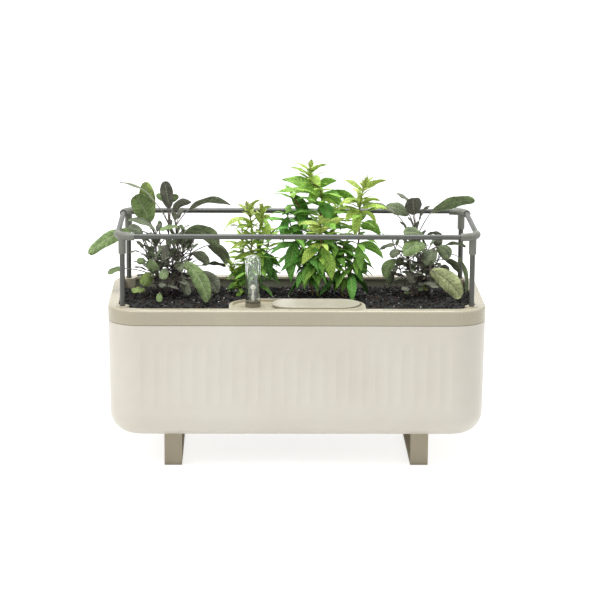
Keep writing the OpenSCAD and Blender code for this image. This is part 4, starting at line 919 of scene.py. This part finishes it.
# Garden sage at the right, rooted in the mix: four woody purple-brown stems with large
# felted leaves on stalks. One leaf in front shows its pale, dark-veined underside.
grow("sage_right", at=(197, 20), stems=[
    ([(0, 0, -10), (2, -2, 45), (0, 0, 90), (-3, 2, 114)], 2.2, 1.4),
    ([(-6, 0, -10), (-10, -4, 36), (-14, -2, 66), (-12, 0, 108)], 2.2, 1.4),
    ([(4, -2, 20), (14, -2, 70), (22, 2, 78)], 2.2, 1.4),
    ([(6, 0, -8), (22, 2, 60)], 2.2, 1.4),
], stalked=[
    (0, 106, (-5, 0, 136), (-9, -12, 166), 28, 0, 0, 0.1),
    (0, 110, (-12, 10, 156), (-34, 12, 170), 14, 2, 60, 0.15),
    (1, 106, (-36, -5, 139), (-90, -10, 154), 20, 8, 65, 0.25),
    (0, 108, (-13, 14, 134), (-50, 22, 147), 22, 3, 20, 0.45),
    (0, 104, (3, 6, 126), (21, 8, 150), 12, 3, 60, 0.2),
    (0, 100, (22, -5, 141), (92, -5, 161), 22, 5, 35, 0.56),
    (0, 88, (10, -22, 104), (-25, -32, 113), 24, 4, 35, 0.45),
    (0, 74, (12, -30, 92), (-26, -44, 80), 26, 6, 25, 0.62),
    (1, 70, (-33, 2, 87), (-61, 2, 79), 12, 3, 60, 0.3),
    (1, 64, (-28, -14, 80), (-45, -22, 71), 14, 2, 20, 0.35),
    (1, 52, (-35, -16, 66), (-53, -22, 36), 18, 6, 15, 0.6),
    (1, 56, (-22, 8, 64), (-32, 10, 50), 12, 0, 0, 0.4),
    (1, 28, (-40, -6, 40), (-46, -10, 23), 12, 0, 0, 0.4),
    (1, 32, (-16, -20, 44), (-5, -30, 29), 13, 0, 0, 0.05),
    (2, 68, (27, -22, 84), (12, -34, 60), 22, 0, 10, 0.3),
    (2, 74, (32, -12, 86), (50, -20, 66), 22, 4, 20, 0.4),
    (2, 75, (33, 8, 82), (34, 12, 96), 14, 0, 0, 0.15),
    (0, 92, (14, 10, 100), (41, 14, 101), 10, 3, 60, 0.15),
    (3, 56, (46, 2, 62), (70, 2, 40), 14, 4, 40, 0.35),
    (2, 76, (42, 8, 82), (80, 10, 81), 14, 5, 70, 0.4),
    (2, 76, (66, -14, 70), (78, -27, 12), 12, 6, 65, 0.5),
    (0, 42, (20, -34, 52), (68, -60, 12), 31, 6, 15, 0.7),
    (2, 20, (10, -18, 28), (14, -26, 16), 8, 0, 0, 0.9),
    (3, 18, (26, 2, 34), (37, -2, 22), 12, 0, 0, 0.85),
    (1, 6, (-8, -22, 12), (-22, -28, 12), 9, 1, 60, 0.5),
    (3, 48, (38, 12, 48), (54, 16, 39), 12, 2, 20, 0.3),
], rings=[
    (0, 36, 108, 16, 2, (24, 16), 0.5, (0.3, 0.15), (5, 60), 0.45),
    (1, 26, 104, 18, 2, (26, 18), 0.5, (0.4, 0.3), (0, 50), 0.45),
    (2, 34, 76, 13, 2, (24, 18), 0.5, (0.35, 0.3), (0, 50), 0.45),
    (3, 18, 58, 13, 2, (22, 18), 0.5, (0.4, 0.35), (0, 50), 0.45),
], fan=(12, 50, 36, 88), materials=[sage_leaf, sage_stem, sage_underside],
   outline=sage_outline, seed=25, veined=(21,))


# The studio: a matt paper floor, a broad soft lamp overhead and weaker ones at the left
# front and at both sides, as in a catalogue picture, with a white wall all round.
deselect()
bpy.ops.mesh.primitive_plane_add(size=60, location=(0, 0, 0))
floor = bpy.context.object
floor.name = "floor"

# Matt paper has no gloss, and its fibres cloud it faintly. The camera, the dome and the
# gloss see it lifted towards white, by more the further it is from the planter.
fibre_cloud = 333
near, far, near_lift, far_lift = 1, 4, 0.74, 0.97
paper = new_material("white paper floor")
place = put(paper, "TexCoord").outputs["Object"]
fibres = put(paper, "TexNoise", {"Vector": place, "Scale": 1000 / fibre_cloud, "Detail": 2})
colour = put(paper, "Mix", {0: fibres, 6: linear("#DEDEDC"), 7: linear("#E3E3E2")},
             data_type="RGBA")
matt = put(paper, "BsdfDiffuse", {"Color": colour.outputs[2]})
rays = put(paper, "LightPath").outputs
direct = put(paper, "Math", {0: rays["Is Camera Ray"], 1: rays["Is Glossy Ray"]},
             operation="MAXIMUM")
seen = put(paper, "Math", {0: direct, 1: rays["Is Transmission Ray"]}, operation="MAXIMUM")
away = put(paper, "VectorMath", {0: place}, operation="LENGTH").outputs["Value"]
sweep = put(paper, "MapRange", {"Value": away, "From Min": near, "From Max": far,
                                "To Min": near_lift, "To Max": far_lift})
lift = put(paper, "Math", {0: seen, 1: sweep}, operation="MULTIPLY")
glow = put(paper, "Emission", {"Strength": lift})
both = put(paper, "AddShader", {0: matt, 1: glow})
put(paper, "OutputMaterial", {"Surface": both})
floor.data.materials.append(paper)

# The room lights the planter softly. Past the floor the camera, the dome and the gloss see
# its white wall.
room_light, white_wall = 0.32, 1
world = bpy.data.worlds.new("studio")
bpy.context.scene.world = world
world.use_nodes = True
sky = world.node_tree.nodes["Background"]
sky.inputs["Color"].default_value = (1, 1, 1, 1)
rays = put(world, "LightPath").outputs
direct = put(world, "Math", {0: rays["Is Camera Ray"], 1: rays["Is Transmission Ray"]},
             operation="MAXIMUM")
seen = put(world, "Math", {0: direct, 1: rays["Is Glossy Ray"]}, operation="MAXIMUM")
wall = put(world, "MapRange", {"Value": seen, "To Min": room_light, "To Max": white_wall})
world.node_tree.links.new(wall.outputs[0], sky.inputs["Strength"])

# Each lamp is a square of a size in metres and a power in watts, aimed at the pot.
aim = Vector((0, 0, 0.2))
white, cool_white = (1, 1, 1), (0.95, 0.985, 1)
for name, where, size, power, light in (
        ("overhead lamp", (0, -0.1, 3), 1.6, 84, cool_white),
        ("key lamp", (-1.9, -1.6, 2.6), 1.4, 36, white),
        ("left lamp", (-2.6, -0.6, 1.3), 1.4, 4, white),
        ("right lamp", (2.6, -0.2, 1.3), 1.4, 10, white)):
    bpy.ops.object.light_add(type="AREA", location=where)
    lamp = bpy.context.object
    lamp.name = name
    lamp.data.size = size
    lamp.data.energy = power
    lamp.data.color = light
    to_pot = aim - lamp.location
    lamp.rotation_euler = to_pot.to_track_quat("-Z", "Y").to_euler()

bpy.context.scene.view_settings.view_transform = "Standard"
